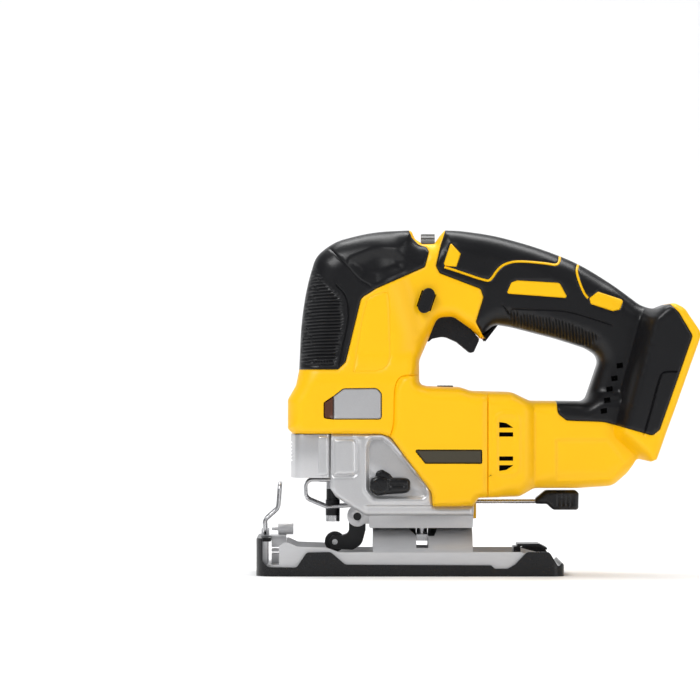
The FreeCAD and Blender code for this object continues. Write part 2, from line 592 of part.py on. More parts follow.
save("pinion", toothed_wheel(PINION_TEETH, *PINION_X, MOTOR_Z, SHAFT_RADIUS, 0))
AXLE_RADIUS = 4.0
gear = toothed_wheel(GEAR_TEETH, GEAR_X, GEAR_X + GEAR_WIDTH, GEAR_Z, AXLE_RADIUS + RUN_GAP,
                     180 + 180 / GEAR_TEETH)
save("drive_gear", gear.cut(rod("x", GEAR_X - 1, GEAR_X + GEAR_WIDTH + 1, 0, PIN_LOW,
                                CRANK_PIN_RADIUS)))
save("crank_pin", rod("x", YOKE_X[1] + 0.4, GEAR_X + GEAR_WIDTH, 0, PIN_LOW, CRANK_PIN_RADIUS))
PLATE_X = (GEAR_X + GEAR_WIDTH + 2, GEAR_X + GEAR_WIDTH + 7)
save("gear_axle", rod("x", GEAR_X, PLATE_X[1], 0, GEAR_Z, AXLE_RADIUS))
inner_head = HEAD_HALF_WIDTH - CAVITY
plate = box(*PLATE_X, -inner_head, inner_head, 83, 109)
plate = plate.fuse(box(*PLATE_X, -12, 12, 109, UPPER_BUSH[1]))
plate = plate.fuse(box(PLUNGER_X - 9, PLATE_X[1], -9, 9, UPPER_BUSH[0] + 1, UPPER_BUSH[1] - 1))
plate = plate.cut(rod("x", PLATE_X[0] - 1, PLATE_X[1] + 1, 0, GEAR_Z, AXLE_RADIUS))
save("bearing_plate", plate.cut(rod("z", 110, 135, PLUNGER_X, 0, BUSH_RADIUS)))
save("plunger_bushes", [tube("z", low, high, PLUNGER_X, 0, BUSH_RADIUS, PLUNGER_RADIUS + RUN_GAP)
                        for low, high in (LOWER_BUSH, UPPER_BUSH)])
collar_top = COLLAR_LOW + COLLAR_HEIGHT
spigot = PLUNGER_RADIUS - 1
plunger = rod("z", PLUNGER_LOW, PLUNGER_TOP, PLUNGER_X, 0, spigot)
plunger = plunger.fuse(rod("z", collar_top + RUN_GAP, PLUNGER_TOP, PLUNGER_X, 0, PLUNGER_RADIUS))
plunger = plunger.fuse(box(PLUNGER_X, YOKE_X[1], -5, 5, PIN_LOW - 5.5, PIN_LOW + 5.5))
plunger = plunger.fuse(box(*YOKE_X, -YOKE_HALF_WIDTH, YOKE_HALF_WIDTH, PIN_LOW - YOKE_HALF_HEIGHT,
                           PIN_LOW + YOKE_HALF_HEIGHT))
slot = ORBIT + FIT_GAP
save("plunger", plunger.cut(box(YOKE_X[0] + 1.6, YOKE_X[1] + 1, -slot, slot,
                                PIN_LOW - CRANK_PIN_RADIUS - FIT_GAP,
                                PIN_LOW + CRANK_PIN_RADIUS + FIT_GAP)))
collar = rod("z", COLLAR_LOW, collar_top, PLUNGER_X, 0, COLLAR_RADIUS)
collar = collar.cut(rod("z", PLUNGER_LOW - RUN_GAP, collar_top + 1, PLUNGER_X, 0, spigot + RUN_GAP))
length, width = BLADE_SLOT
save("blade_collar", collar.cut(box(PLUNGER_X - length / 2, PLUNGER_X + length / 2, -width / 2,
                                    width / 2, COLLAR_LOW - 1, PLUNGER_LOW + 1)))
weight = box(*WEIGHT_X, -WEIGHT_HALF_WIDTH, WEIGHT_HALF_WIDTH, WEIGHT_LOW, GEAR_Z + ORBIT)
save("counterweight", weight.cut(box(-60, 60, -ORBIT - 1, ORBIT + 1, GEAR_Z - ORBIT - 1.5, 200)))

# ---------------------------------------------------------------- gear case and what it carries
CASE = [
    (-43, 77, 1), (-43, 47, 2), (-40.5, 43.3, 2), (-30, 35.8, 3), (-24, 32, 1), (35, 32, 1),
    (35, 37.5, 0.5), (12.5, 37.5, 1), (12, 45, 8), (-10.5, 75.5, 6), (-16, 77, 3)]
KEEL = [(KEEL_FRONT, KEEL_LOW, 1), (34.6, KEEL_LOW, 1), (35, 31, 1), (35, 37.5, 0), (11.5, 37.5, 0),
        (11.5, 41, 0), (KEEL_FRONT, 41, 0)]
SELECTOR_PANEL = [
    (-24, 70, 3), (-22.5, 74.5, 3), (-14, 74.5, 3), (5, 54, 4), (10, 45, 3), (6, 41.7, 3),
    (-18, 41.7, 3), (-24, 46, 4)]
FINGER_RECESS = [(-50, 54, 0), (-28.5, 54, 3), (-28.5, 74, 3), (-50, 74, 0)]
SELECTOR = (-16.0, 48.8)
SELECTOR_SHAFT = 3.0
PANEL_DEPTH = 1.5
SKIRT_TOP = SHOE_WALL_TOP + FIT_GAP
SHOE_SWEEP = math.hypot(SHOE_HALF_WIDTH + SKIRT, SKIRT_TOP) + 0.8   # what the tilting shoe reaches
SWEEP_TOP = math.ceil(SHOE_SWEEP * math.sin(math.atan2(SKIRT_TOP, SHOE_HALF_WIDTH + SKIRT)
                                            + math.radians(BEVEL_RANGE)))

sides = CASE_HALF_WIDTH
case = side_prism(CASE, -sides, sides)
hollow = side_face(CASE).makeOffset2D(-CASE_WALL, 0, False, False, False)
hollow.translate(Vector(0, CASE_WALL - sides, 0))
hollow = hollow.extrude(Vector(0, 2 * (sides - CASE_WALL), 0))
hollow = hollow.fuse(box(-30.8, GEAR_X + GEAR_WIDTH + 1, CASE_WALL - sides, sides - CASE_WALL, 55, 80))
hollow = hollow.common(box(-31, 60, -60, 60, SWEEP_TOP + CASE_WALL, 90))
case = case.cut(hollow)
case = case.cut(rod("x", -60, 60, 0, 0, SHOE_SWEEP).common(box(-60, 60, -60, 60, 0, SWEEP_TOP)))
case = case.fuse(side_prism(KEEL, -KEEL_HALF_WIDTH, KEEL_HALF_WIDTH))
case = case.cut(box(-60, -34, -8.5, 8.5, 20, 90))
case = case.fuse(box(-50, -31, -9, 9, LOWER_BUSH[0] - 0.5, LOWER_BUSH[1] + 0.6))
case = case.cut(box(YOKE_X[0] - FIT_GAP, -30, -YOKE_HALF_WIDTH - FIT_GAP, YOKE_HALF_WIDTH + FIT_GAP,
                    PIN_LOW - YOKE_HALF_HEIGHT - FIT_GAP, 90))
case = case.cut(rod("z", 60, 80, PLUNGER_X, 0, BUSH_RADIUS))
for side in (-1, 1):
    low, high = sorted((side * (GUIDE_HALF_WIDTH + FIT_GAP), side * 10))
    x, z = GUIDE_PIN
    ear = rod("y", low, high, x, z, 5.5).fuse(side_prism([(x, z - 4), (x + 8, z - 4), (x + 8, 40),
                                                          (x - 5, 40)], low, high))
    case = case.fuse(ear)
    case = case.cut(rod("y", low - 1, high + 1, x, z, GUIDE_PIN_RADIUS))
    case = case.cut(side_prism(FINGER_RECESS, *sorted((side * (sides - 1.2), side * 40))))
case = case.fuse(rod("z", 49.6, 52.6, *LEVER_PIN, 3).fuse(
    box(LEVER_PIN[0], -40, LEVER_PIN[1] - 3, LEVER_PIN[1] + 3, 49.6, 52.6)))
case = case.cut(rod("z", 45, 60, *LEVER_PIN, LEVER_PIN_RADIUS))
case = case.cut(side_prism(SELECTOR_PANEL, -40, PANEL_DEPTH - sides))
case = case.cut(rod("y", -40, CASE_WALL - sides + 3, *SELECTOR, SELECTOR_SHAFT + RUN_GAP))
case = case.cut(rod("x", FRONT_BEARING[0], 30, 0, MOTOR_Z, FRONT_BEARING[2]))
case = case.cut(rod("x", -30, 0, 0, MOTOR_Z, SHAFT_RADIUS + 2))
case = case.cut(rod("z", 20, 60, BEVEL_PIVOT_X, 0, BOLT_RADIUS))
case = case.cut(rod("z", 36.9, 46, BEVEL_PIVOT_X, 0, 8))
case = case.cut(plan_prism(BEVEL_LEVER_SWEEP, 36.9, 41.4))

wire = 0.9
guard_parts = []
for side in (-1, 1):
    y = side * 11.5
    guard_parts.append(wire_path([
        (-40, y, 51.6, 0), (-56.8, y, 51.6, 4), (-56.8, y, 41.5, 4), (-45, y, 36.6, 5),
        (-31, y, 37.6, 0)], wire))
guard = fuse(guard_parts + [rod("y", -11.5, 11.5, -56.8, 46.8, wire)])
case = case.cut(guard).cut(weight_space())
case = case.cut(side_prism([(-36, 30), (-36, 42), (-21.5, 42), (-21.5, 30)],
                           -GUIDE_HALF_WIDTH - FIT_GAP, GUIDE_HALF_WIDTH + FIT_GAP))
save("gear_case", case)
save("finger_guard", guard)

lever = plan_prism([(LEVER_REAR, -LEVER_HALF_WIDTH, 2), (LEVER_REAR, LEVER_HALF_WIDTH, LEVER_CORNER),
                    (-62, LEVER_HALF_WIDTH, 6), (-65.5, 0, 60), (-62, -LEVER_HALF_WIDTH, 6)], *LEVER_Z)
lever = lever.cut(box(-60.5, -40, -14, 14, 50, 80))
for z in range(62, 73, 2):
    lever = lever.cut(box(-70, -64.2, -12, 12, z - 0.5, z + 0.5))
save("clamp_lever", lever.cut(rod("z", 50, 80, *LEVER_PIN, LEVER_PIN_RADIUS + RUN_GAP)))
save("clamp_lever_pin", rod("z", 49.6, 80, *LEVER_PIN, LEVER_PIN_RADIUS))

knob_face = PANEL_DEPTH - sides - FIT_GAP
knob = fuse([rod("y", knob_face - 4.5, knob_face, *SELECTOR, 5.2),
             side_prism([(-16, 53.8), (-3, 53.2), (-3, 45.3), (-16, 43.8)], knob_face - 4.5, knob_face),
             rod("y", knob_face - 4.5, knob_face, -3, 49.25, 3.95),
             rod("y", knob_face, CASE_WALL - sides + 2.5, *SELECTOR, SELECTOR_SHAFT)])
save("selector_knob", knob)

x, z = GUIDE_PIN
arm = side_prism([(-33.1, 31.5, 0), (-33.1, 22.3, 3), (-37, 20.9, 3), (-42, 21.2, 2), (-44.6, 17.5, 2),
                  (-42, 13.6, 2), (-31, 13.0, 3), (-26, 16, 6), (-23.9, 24, 3), (-23.9, 31.5, 0)],
                 -GUIDE_HALF_WIDTH, GUIDE_HALF_WIDTH)
arm = arm.fuse(rod("y", -GUIDE_HALF_WIDTH, GUIDE_HALF_WIDTH, x, z, 4.6))
arm = arm.cut(rod("y", -ROLLER_HALF_WIDTH - FIT_GAP, ROLLER_HALF_WIDTH + FIT_GAP, *ROLLER,
                  ROLLER_RADIUS + 0.8))
arm = arm.cut(rod("y", -9, 9, x, z, GUIDE_PIN_RADIUS + RUN_GAP))
save("guide_arm", arm.cut(rod("y", -9, 9, *ROLLER, ROLLER_PIN_RADIUS)))
roller = rod("y", -ROLLER_HALF_WIDTH, ROLLER_HALF_WIDTH, *ROLLER, ROLLER_RADIUS)
rim = tube("y", -0.9, 0.9, *ROLLER, ROLLER_RADIUS + 1, ROLLER_RADIUS - 0.9)
save("guide_roller", roller.cut(rim).cut(rod("y", -9, 9, *ROLLER, ROLLER_PIN_RADIUS + RUN_GAP)))
save("roller_pin", rod("y", -GUIDE_HALF_WIDTH, GUIDE_HALF_WIDTH, *ROLLER, ROLLER_PIN_RADIUS))
save("guide_pivot_pin", rod("y", -10, 10, x, z, GUIDE_PIN_RADIUS))

saddle = box(BEVEL_PIVOT_X - 6, BEVEL_PIVOT_X + 6, -5, 5, 18, 24)
saddle = saddle.common(rod("x", -20, 40, 0, 0, ARCH_RADIUS - ARCH_SHEET - FIT_GAP))
bolt = saddle.fuse(rod("z", 18, 46, BEVEL_PIVOT_X, 0, BOLT_RADIUS))
save("bevel_bolt", bolt)
save("bevel_nut", tube("z", 42, 45.0, BEVEL_PIVOT_X, 0, 4.3, BOLT_RADIUS))
bevel_rod = rod("x", BEVEL_PIVOT_X + 4, 80, 0, BEVEL_LEVER_Z, BEVEL_ROD_RADIUS)
hub = tube("z", 37.8, 41.2, BEVEL_PIVOT_X, 0, 4.7, BOLT_RADIUS + RUN_GAP)
bevel_rod = bevel_rod.fuse(hub)
save("bevel_lever", bevel_rod)
paddle = side_prism([(69, 38.3, 1), (69.5, 41.3, 2), (75, 45.7, 3), (91.5, 45.7, 2), (93, 44, 1),
                     (92.8, 35, 1.5), (79, 35, 3), (75.5, 38.2, 2)], -7, 7)
save("bevel_paddle", paddle.cut(rod("x", 60, 80, 0, BEVEL_LEVER_Z, BEVEL_ROD_RADIUS)))

# ---------------------------------------------------------------- shoe
SHOE_REAR = 79.5
SHOE_FRONT = -80.0
SHOE_SIDE = [
    (-76, 3, 1), (-76, 14, 2), (-67, 18.6, 3), (-61.5, 16, 4), (-45, 15.4, 3), (-38.5, 13, 4),
    (60, SHOE_WALL_TOP, 3), (79.5, 8, 1), (79.5, 3, 0)]
SHOE_PLAN = [(SHOE_FRONT, -SHOE_HALF_WIDTH, 10), (SHOE_REAR, -SHOE_HALF_WIDTH, 6),
             (SHOE_REAR, SHOE_HALF_WIDTH, 6), (SHOE_FRONT, SHOE_HALF_WIDTH, 10)]
top = COVER_SHEET + SHOE_SHEET
shoe = plan_prism(SHOE_PLAN, COVER_SHEET, top)
for side in (-1, 1):
    low, high = sorted((side * (SHOE_HALF_WIDTH - SHOE_SHEET), side * SHOE_HALF_WIDTH))
    shoe = shoe.fuse(side_prism(SHOE_SIDE, low, high).common(
        box(-71, 74, -60, 60, 0, 30)))
shoe = shoe.fuse(box(SHOE_FRONT, SHOE_FRONT + 2.5, -26, 26, COVER_SHEET, 18.4))
throat = plan_prism([(SLOT_X[0], -SLOT_HALF_WIDTH, 5), (SLOT_X[1], -SLOT_HALF_WIDTH, 2),
                     (SLOT_X[1], SLOT_HALF_WIDTH, 2), (SLOT_X[0], SLOT_HALF_WIDTH, 5)], -1, 30)
shoe = shoe.cut(throat)
SHOE_SCREWS = [(-14, -15), (-14, 15), (28, -15), (28, 15)]
shoe_bolts = []
for x, y in SHOE_SCREWS:
    shoe = shoe.cut(rod("z", 0, 10, x, y, 2))
    shoe_bolts.append(screw("z", COVER_SHEET, top + 2.5, x, y, 2, 3.4, 1.6))
    shoe = shoe.cut(rod("z", COVER_SHEET - 1, COVER_SHEET + 1.6, x, y, 3.4))
save("shoe", shoe)
save("shoe_screws", shoe_bolts)

arch = tube("x", -20, 34.5, 0, 0, ARCH_RADIUS, ARCH_RADIUS - ARCH_SHEET).common(
    box(-40, 60, -60, 60, top, 60))
arch = arch.fuse(box(-20, 34.5, -ARCH_RADIUS, -10, top, top + 2.5)).fuse(
    box(-20, 34.5, 10, ARCH_RADIUS, top, top + 2.5))
travel = ARCH_RADIUS * math.sin(math.radians(BEVEL_RANGE + 9))
slot_half = BOLT_RADIUS + FIT_GAP
arch = arch.cut(box(BEVEL_PIVOT_X - slot_half, BEVEL_PIVOT_X + slot_half, -travel, travel, 9.5, 40))
for x, y in SHOE_SCREWS:
    arch = arch.cut(rod("z", top - 1, top + 4, x, y, 2))
save("bevel_arch", arch)

OVERSHOE_SIDE = [
    (-83.5, 0, 3), (-83.5, 20.5, 0.8), (-80, 20.5, 0.8), (-80, 8, 1), (-77, 5, 2), (-61.5, 4.8, 2),
    (-56, 13, 2.5), (-43, 13.2, 3), (-35, 6.4, 3), (44, 6, 1), (46, 4.2, 1), (53, 4.2, 1),
    (57, 6.5, 2), (63.5, 13.3, 2.5), (75.5, 13.3, 2.5), (80.5, 5, 1), (82.5, 7.5, 0.6),
    (83.7, 6, 0.6), (83.7, 0, 1)]
reach = SHOE_HALF_WIDTH + SKIRT
cover_plan = [(-83.5, -reach, 12), (83.7, -reach, 7), (83.7, reach, 7), (-83.5, reach, 12)]
over = plan_prism(cover_plan, 0, COVER_SHEET)
profile = side_prism(OVERSHOE_SIDE, -reach, reach)
ring = plan_prism(cover_plan, 0, 30).cut(plan_prism(SHOE_PLAN, 1, 40))
over = over.fuse(ring.common(profile))
over = over.fuse(box(-83, -75.6, -26, 26, 18.4, 20.5))
over = over.cut(box(SHOE_FRONT - 0.01, SHOE_FRONT + 2.5, -26, 26, COVER_SHEET, 18.4))
save("overshoe", over.cut(throat))
INSERT_X = (-50.0, -34.0)
insert = box(*INSERT_X, -SLOT_HALF_WIDTH, SLOT_HALF_WIDTH, 0.4, 2.8)
save("splinter_insert", insert.cut(box(INSERT_X[0] - 1, INSERT_X[1] - 4, -1.5, 1.5, 0, 4)))

BAIL_PIVOT = (-79.0, 22.6)
BAIL_HALF_WIDTH = 12.5
BAIL_WIRE = 1.1
block = box(-75.5, -67.5, -9, 9, top, 20.6).fuse(box(-81.2, -67.5, -10.5, 10.5, 20.6, 21.2))
for z in (11, 13.5):
    block = block.cut(box(-77, -69.5, -20, 20, z, z + 1.2))
for side in (-1, 1):
    low, high = sorted((side * 7.5, side * 10.5))
    block = block.fuse(box(-81, -77, low, high, 21, 24.6))
block = block.cut(rod("y", -20, 20, *BAIL_PIVOT, BAIL_WIRE + RUN_GAP))
save("front_block", block)
bail = wire_path([
    (-79, -8, 22.6, 0), (-79, -BAIL_HALF_WIDTH, 22.6, 2), (-79.3, -BAIL_HALF_WIDTH, 29.5, 4),
    (-71.9, -BAIL_HALF_WIDTH, 36, 5), (-70.9, -BAIL_HALF_WIDTH + 1, 49.4, 4),
    (-70.9, BAIL_HALF_WIDTH - 1, 49.4, 4), (-71.9, BAIL_HALF_WIDTH, 36, 5),
    (-79.3, BAIL_HALF_WIDTH, 29.5, 4), (-79, BAIL_HALF_WIDTH, 22.6, 2), (-79, 8, 22.6, 0)], BAIL_WIRE)
save("wire_bail", bail)
save("front_knob", rod("x", -72, -63.6, 0, 24.5, 3.25).fuse(rod("x", -75.5, -72, 0, 24.5, 1)))
latch = side_prism([(59, 15.2, 0.3), (59, 16.6, 0.3), (71, 16.6, 2), (75.5, 14.4, 0.6), (75.5, 13.2, 0.3),
                    (70.5, 15.2, 2)], -11, 11)
save("rear_latch", latch.fuse(box(57, 61, -9, 9, top, 15.2)))
print("pieces", len(saved))
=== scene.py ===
import json
import math
import bmesh
import bpy
import numpy as np
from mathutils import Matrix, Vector
from mathutils.geometry import delaunay_2d_cdt


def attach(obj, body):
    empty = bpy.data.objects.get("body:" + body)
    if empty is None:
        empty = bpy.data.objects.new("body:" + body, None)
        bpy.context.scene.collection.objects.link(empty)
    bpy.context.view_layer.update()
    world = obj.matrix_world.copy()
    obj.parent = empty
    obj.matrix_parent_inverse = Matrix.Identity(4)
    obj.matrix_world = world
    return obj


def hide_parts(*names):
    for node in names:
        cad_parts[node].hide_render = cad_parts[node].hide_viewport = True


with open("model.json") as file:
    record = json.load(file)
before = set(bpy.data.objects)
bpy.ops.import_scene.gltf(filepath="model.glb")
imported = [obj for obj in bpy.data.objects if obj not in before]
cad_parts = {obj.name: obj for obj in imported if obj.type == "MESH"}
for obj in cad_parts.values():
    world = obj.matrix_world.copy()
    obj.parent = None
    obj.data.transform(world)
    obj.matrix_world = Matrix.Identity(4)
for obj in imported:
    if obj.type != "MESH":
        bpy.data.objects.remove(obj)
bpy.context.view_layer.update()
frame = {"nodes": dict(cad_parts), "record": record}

# The studio: a pale floor that curves up behind the tool, one broad key light over the nose, a low
# fill, a top light and a back light, and a long lens level with the middle of the tool.
MM = 0.001
scene = bpy.context.scene
scene.view_settings.view_transform = "Standard"
lens_centre = Vector((-32.5 * MM, 0, 122.7 * MM))
view_width = 385 * MM
view_distance = 2.5
camera_data = bpy.data.cameras.new("camera")
camera_data.sensor_width = 36
camera_data.lens = 36 * view_distance / view_width
camera_data.clip_end = 20
camera = bpy.data.objects.new("camera", camera_data)
camera.location = lens_centre + Vector((0, -view_distance, 0))
camera.rotation_euler = (math.radians(90), 0, 0)
scene.collection.objects.link(camera)
scene.camera = camera

curve_start, curve_radius, curve_steps = 1.0, 0.6, 12
sweep = [(-4.0, 0.0), (curve_start, 0.0)]
for turn in range(1, curve_steps + 1):
    angle = math.radians(turn * 90 / curve_steps)
    sweep.append((curve_start + curve_radius * math.sin(angle),
                  curve_radius - curve_radius * math.cos(angle)))
sweep.append((curve_start + curve_radius, 4.0))
floor_mesh = bpy.data.meshes.new("studio_floor")
floor_mesh.from_pydata([(x, y, z) for y, z in sweep for x in (-5, 5)], [],
                       [(2 * i, 2 * i + 1, 2 * i + 3, 2 * i + 2) for i in range(len(sweep) - 1)])
floor_mesh.shade_smooth()
studio_floor = bpy.data.objects.new("studio_floor", floor_mesh)
scene.collection.objects.link(studio_floor)
floor_material = bpy.data.materials.new("pale_floor")
floor_material.use_nodes = True
floor_surface = floor_material.node_tree.nodes["Principled BSDF"]
floor_surface.inputs["Base Color"].default_value = (0.9, 0.9, 0.9, 1)
floor_surface.inputs["Roughness"].default_value = 0.55
floor_mesh.materials.append(floor_material)

world = bpy.data.worlds.new("soft_room")
world.use_nodes = True
world.node_tree.nodes["Background"].inputs["Color"].default_value = (0.92, 0.95, 1, 1)
world.node_tree.nodes["Background"].inputs["Strength"].default_value = 0.22
scene.world = world


def softbox(name, place, size, power):
    light = bpy.data.lights.new(name, "AREA")
    light.shape = "RECTANGLE"
    light.size, light.size_y = size
    light.energy = power
    lamp = bpy.data.objects.new(name, light)
    lamp.location = place
    lamp.rotation_euler = (lens_centre - Vector(place)).to_track_quat("-Z", "Y").to_euler()
    scene.collection.objects.link(lamp)


softbox("key_light", (-0.8, -1.0, 1.3), (0.8, 0.6), 18)
softbox("fill_light", (1.2, -1.3, 0.5), (0.4, 0.9), 6)
softbox("top_light", (0.1, 0.35, 1.5), (1.6, 0.5), 12)
softbox("back_light", (0.3, 0.6, 1.9), (2.4, 0.6), 22)


# Every surface is mixed from the same finish: a base colour with a faint cloudy change, a speckle
# as moulding or casting leaves it, and a height for the bump.
def surface_group():
    group = bpy.data.node_groups.new("moulded_surface", "ShaderNodeTree")
    face = group.interface
    for name, kind, value in (("Color", "NodeSocketColor", (0.5, 0.5, 0.5, 1)),
                              ("Roughness", "NodeSocketFloat", 0.5),
                              ("Cloud", "NodeSocketFloat", 0.1),
                              ("Speckle", "NodeSocketFloat", 0.1),
                              ("Grain Scale", "NodeSocketFloat", 1500.0),
                              ("Stretch", "NodeSocketVector", (1, 1, 1))):
        face.new_socket(name, in_out="INPUT", socket_type=kind).default_value = value
    for name, kind in (("Color", "NodeSocketColor"), ("Roughness", "NodeSocketFloat"),
                       ("Height", "NodeSocketFloat")):
        face.new_socket(name, in_out="OUTPUT", socket_type=kind)
    nodes, links = group.nodes, group.links
    given = nodes.new("NodeGroupInput")
    result = nodes.new("NodeGroupOutput")
    place = nodes.new("ShaderNodeTexCoord")
    stretch = nodes.new("ShaderNodeVectorMath")
    stretch.operation = "MULTIPLY"
    links.new(place.outputs["Object"], stretch.inputs[0])
    links.new(given.outputs["Stretch"], stretch.inputs[1])
    cloud = nodes.new("ShaderNodeTexNoise")
    cloud.inputs["Scale"].default_value = 45
    cloud.inputs["Detail"].default_value = 4
    links.new(place.outputs["Object"], cloud.inputs["Vector"])
    grain = nodes.new("ShaderNodeTexNoise")
    grain.inputs["Detail"].default_value = 3
    links.new(stretch.outputs[0], grain.inputs["Vector"])
    links.new(given.outputs["Grain Scale"], grain.inputs["Scale"])

    def about_zero(source, amount):
        centred = nodes.new("ShaderNodeMath")
        centred.operation = "SUBTRACT"
        centred.inputs[1].default_value = 0.5
        links.new(source, centred.inputs[0])
        scaled = nodes.new("ShaderNodeMath")
        scaled.operation = "MULTIPLY"
        links.new(centred.outputs[0], scaled.inputs[0])
        links.new(amount, scaled.inputs[1])
        return scaled.outputs[0]

    clouds = about_zero(cloud.outputs["Fac"], given.outputs["Cloud"])
    specks = about_zero(grain.outputs["Fac"], given.outputs["Speckle"])
    both = nodes.new("ShaderNodeMath")
    links.new(clouds, both.inputs[0])
    links.new(specks, both.inputs[1])
    lift = nodes.new("ShaderNodeMath")
    lift.inputs[1].default_value = 1
    links.new(both.outputs[0], lift.inputs[0])
    tint = nodes.new("ShaderNodeVectorMath")
    tint.operation = "SCALE"
    links.new(given.outputs["Color"], tint.inputs[0])
    links.new(lift.outputs[0], tint.inputs["Scale"])
    rough = nodes.new("ShaderNodeMath")
    rough.use_clamp = True
    links.new(given.outputs["Roughness"], rough.inputs[0])
    links.new(both.outputs[0], rough.inputs[1])
    links.new(tint.outputs[0], result.inputs["Color"])
    links.new(rough.outputs[0], result.inputs["Roughness"])
    links.new(grain.outputs["Fac"], result.inputs["Height"])
    return group


moulded_surface = surface_group()


def finish_material(name, color, roughness, metallic=0.0, cloud=0.08, speckle=0.12, grain=1500,
                    bump=0.1, stretch=(1, 1, 1), coat=0.0, transmission=0.0, shine=0.5):
    material = bpy.data.materials.new(name)
    material.use_nodes = True
    nodes, links = material.node_tree.nodes, material.node_tree.links
    surface = nodes["Principled BSDF"]
    mix = nodes.new("ShaderNodeGroup")
    mix.node_tree = moulded_surface
    mix.inputs["Color"].default_value = (*color, 1)
    mix.inputs["Roughness"].default_value = roughness
    mix.inputs["Cloud"].default_value = cloud
    mix.inputs["Speckle"].default_value = speckle
    mix.inputs["Grain Scale"].default_value = grain
    mix.inputs["Stretch"].default_value = stretch
    links.new(mix.outputs["Color"], surface.inputs["Base Color"])
    links.new(mix.outputs["Roughness"], surface.inputs["Roughness"])
    height = nodes.new("ShaderNodeBump")
    height.inputs["Strength"].default_value = bump
    height.inputs["Distance"].default_value = 0.1 * MM
    links.new(mix.outputs["Height"], height.inputs["Height"])
    links.new(height.outputs["Normal"], surface.inputs["Normal"])
    surface.inputs["Metallic"].default_value = metallic
    surface.inputs["Coat Weight"].default_value = coat
    surface.inputs["Specular IOR Level"].default_value = shine
    surface.inputs["Transmission Weight"].default_value = transmission
    return material


yellow_plastic = finish_material("yellow_plastic", (0.97, 0.53, 0.001), 0.42, cloud=0.04,
                                 speckle=0.05, bump=0.05, shine=0.32)
black_rubber = finish_material("black_rubber", (0.0065, 0.0065, 0.0075), 0.34, speckle=0.25, grain=2200,
                               bump=0.2, shine=0.3)
black_plastic = finish_material("black_plastic", (0.006, 0.006, 0.007), 0.3, speckle=0.25, bump=0.12,
                                shine=0.35)
cast_metal = finish_material("cast_metal", (0.56, 0.56, 0.57), 0.33, metallic=0.5, cloud=0.06,
                             speckle=0.1, grain=1200, bump=0.2)
shoe_metal = finish_material("shoe_metal", (0.6, 0.6, 0.61), 0.32, metallic=0.5, cloud=0.06, grain=900,
                             bump=0.15, stretch=(0.15, 1, 1))
ground_steel = finish_material("ground_steel", (0.55, 0.55, 0.56), 0.28, metallic=1.0, grain=1200,
                               bump=0.1, stretch=(1, 1, 0.1))
black_steel = finish_material("black_steel", (0.02, 0.02, 0.021), 0.35, metallic=0.6, grain=1400)
bronze = finish_material("bronze", (0.45, 0.25, 0.09), 0.35, metallic=1.0)
copper_wound = finish_material("copper_wound", (0.5, 0.2, 0.08), 0.4, metallic=0.9, stretch=(0.2, 1, 1))
grey_plastic = finish_material("grey_plastic", (0.09, 0.088, 0.085), 0.35)
silver_plate = finish_material("silver_plate", (0.52, 0.52, 0.53), 0.35, metallic=0.55)
smoked_plastic = finish_material("smoked_plastic", (0.09, 0.03, 0.015), 0.15, coat=0.6, bump=0.0)
dark_print = finish_material("dark_print", (0.045, 0.038, 0.022), 0.4)
clear_plastic = finish_material("clear_plastic", (0.75, 0.77, 0.78), 0.12, bump=0.0, transmission=0.6)
# deep_shadow is painted shade: near-black with almost no shine, laid where holes, slots and gaps lie in
# shade.
deep_shadow = finish_material("deep_shadow", (0.003, 0.003, 0.003), 0.8, bump=0.0, shine=0.1)
circuit_board = finish_material("circuit_board", (0.02, 0.09, 0.04), 0.4, speckle=0.4, grain=500)

node_finish = {
    yellow_plastic: ("left_housing", "right_housing", "grip_inlays"),
    black_rubber: ("front_grip", "handle_grip", "post_cover"),
    black_plastic: ("trigger", "lock_off_button", "switch_module", "selector_knob", "overshoe",
                    "cooling_fan", "terminal_block", "bevel_paddle", "rear_latch"),
    cast_metal: ("gear_case", "clamp_lever", "bearing_plate"),
    shoe_metal: ("shoe", "bevel_arch", "front_block", "front_knob"),
    ground_steel: ("trigger_pin", "dial_axle", "rotor_core", "rotor_shaft", "motor_bearings", "pinion",
                   "drive_gear", "crank_pin", "gear_axle", "plunger", "counterweight", "finger_guard",
                   "clamp_lever_pin", "roller_pin", "bevel_bolt", "bevel_nut",
                   "bevel_lever", "wire_bail", "housing_screws", "shoe_screws"),
    black_steel: ("blade_collar", "guide_arm", "guide_roller", "guide_pivot_pin"),
    bronze: ("plunger_bushes", "contact_blades"),
    copper_wound: ("stator",),
    grey_plastic: ("speed_dial", "blower_slider"),
    silver_plate: ("side_badge",),
    smoked_plastic: ("badge_lens",),
    dark_print: ("side_plate",),
    clear_plastic: ("work_light", "splinter_insert"),
    circuit_board: ("controller_board",),
}
finish_of = {}
for material, names in node_finish.items():
    for name in names:
        finish_of[name] = material
        cad_mesh = frame["nodes"][name].data
        cad_mesh.materials.clear()
        cad_mesh.materials.append(material)

body_of_node = {name: body for body, names in frame["record"]["behaviour"]["bodies"].items()
                for name in names}


def joined_faces(node):
    """A CAD node's mesh, open for editing, with its doubled corners and its flat faces joined."""
    build = bmesh.new()
    build.from_mesh(frame["nodes"][node].data)
    bmesh.ops.remove_doubles(build, verts=build.verts, dist=0.004 * MM)
    bmesh.ops.dissolve_limit(build, angle_limit=math.radians(1.5), verts=build.verts, edges=build.edges)
    return build


# The hard parts are cast, stamped or moulded, so none has a knife edge. Each is its CAD shape
# with its faces joined and its edges rounded by a small radius.
edge_angle = math.radians(28)  # an edge that turns further than this is rounded


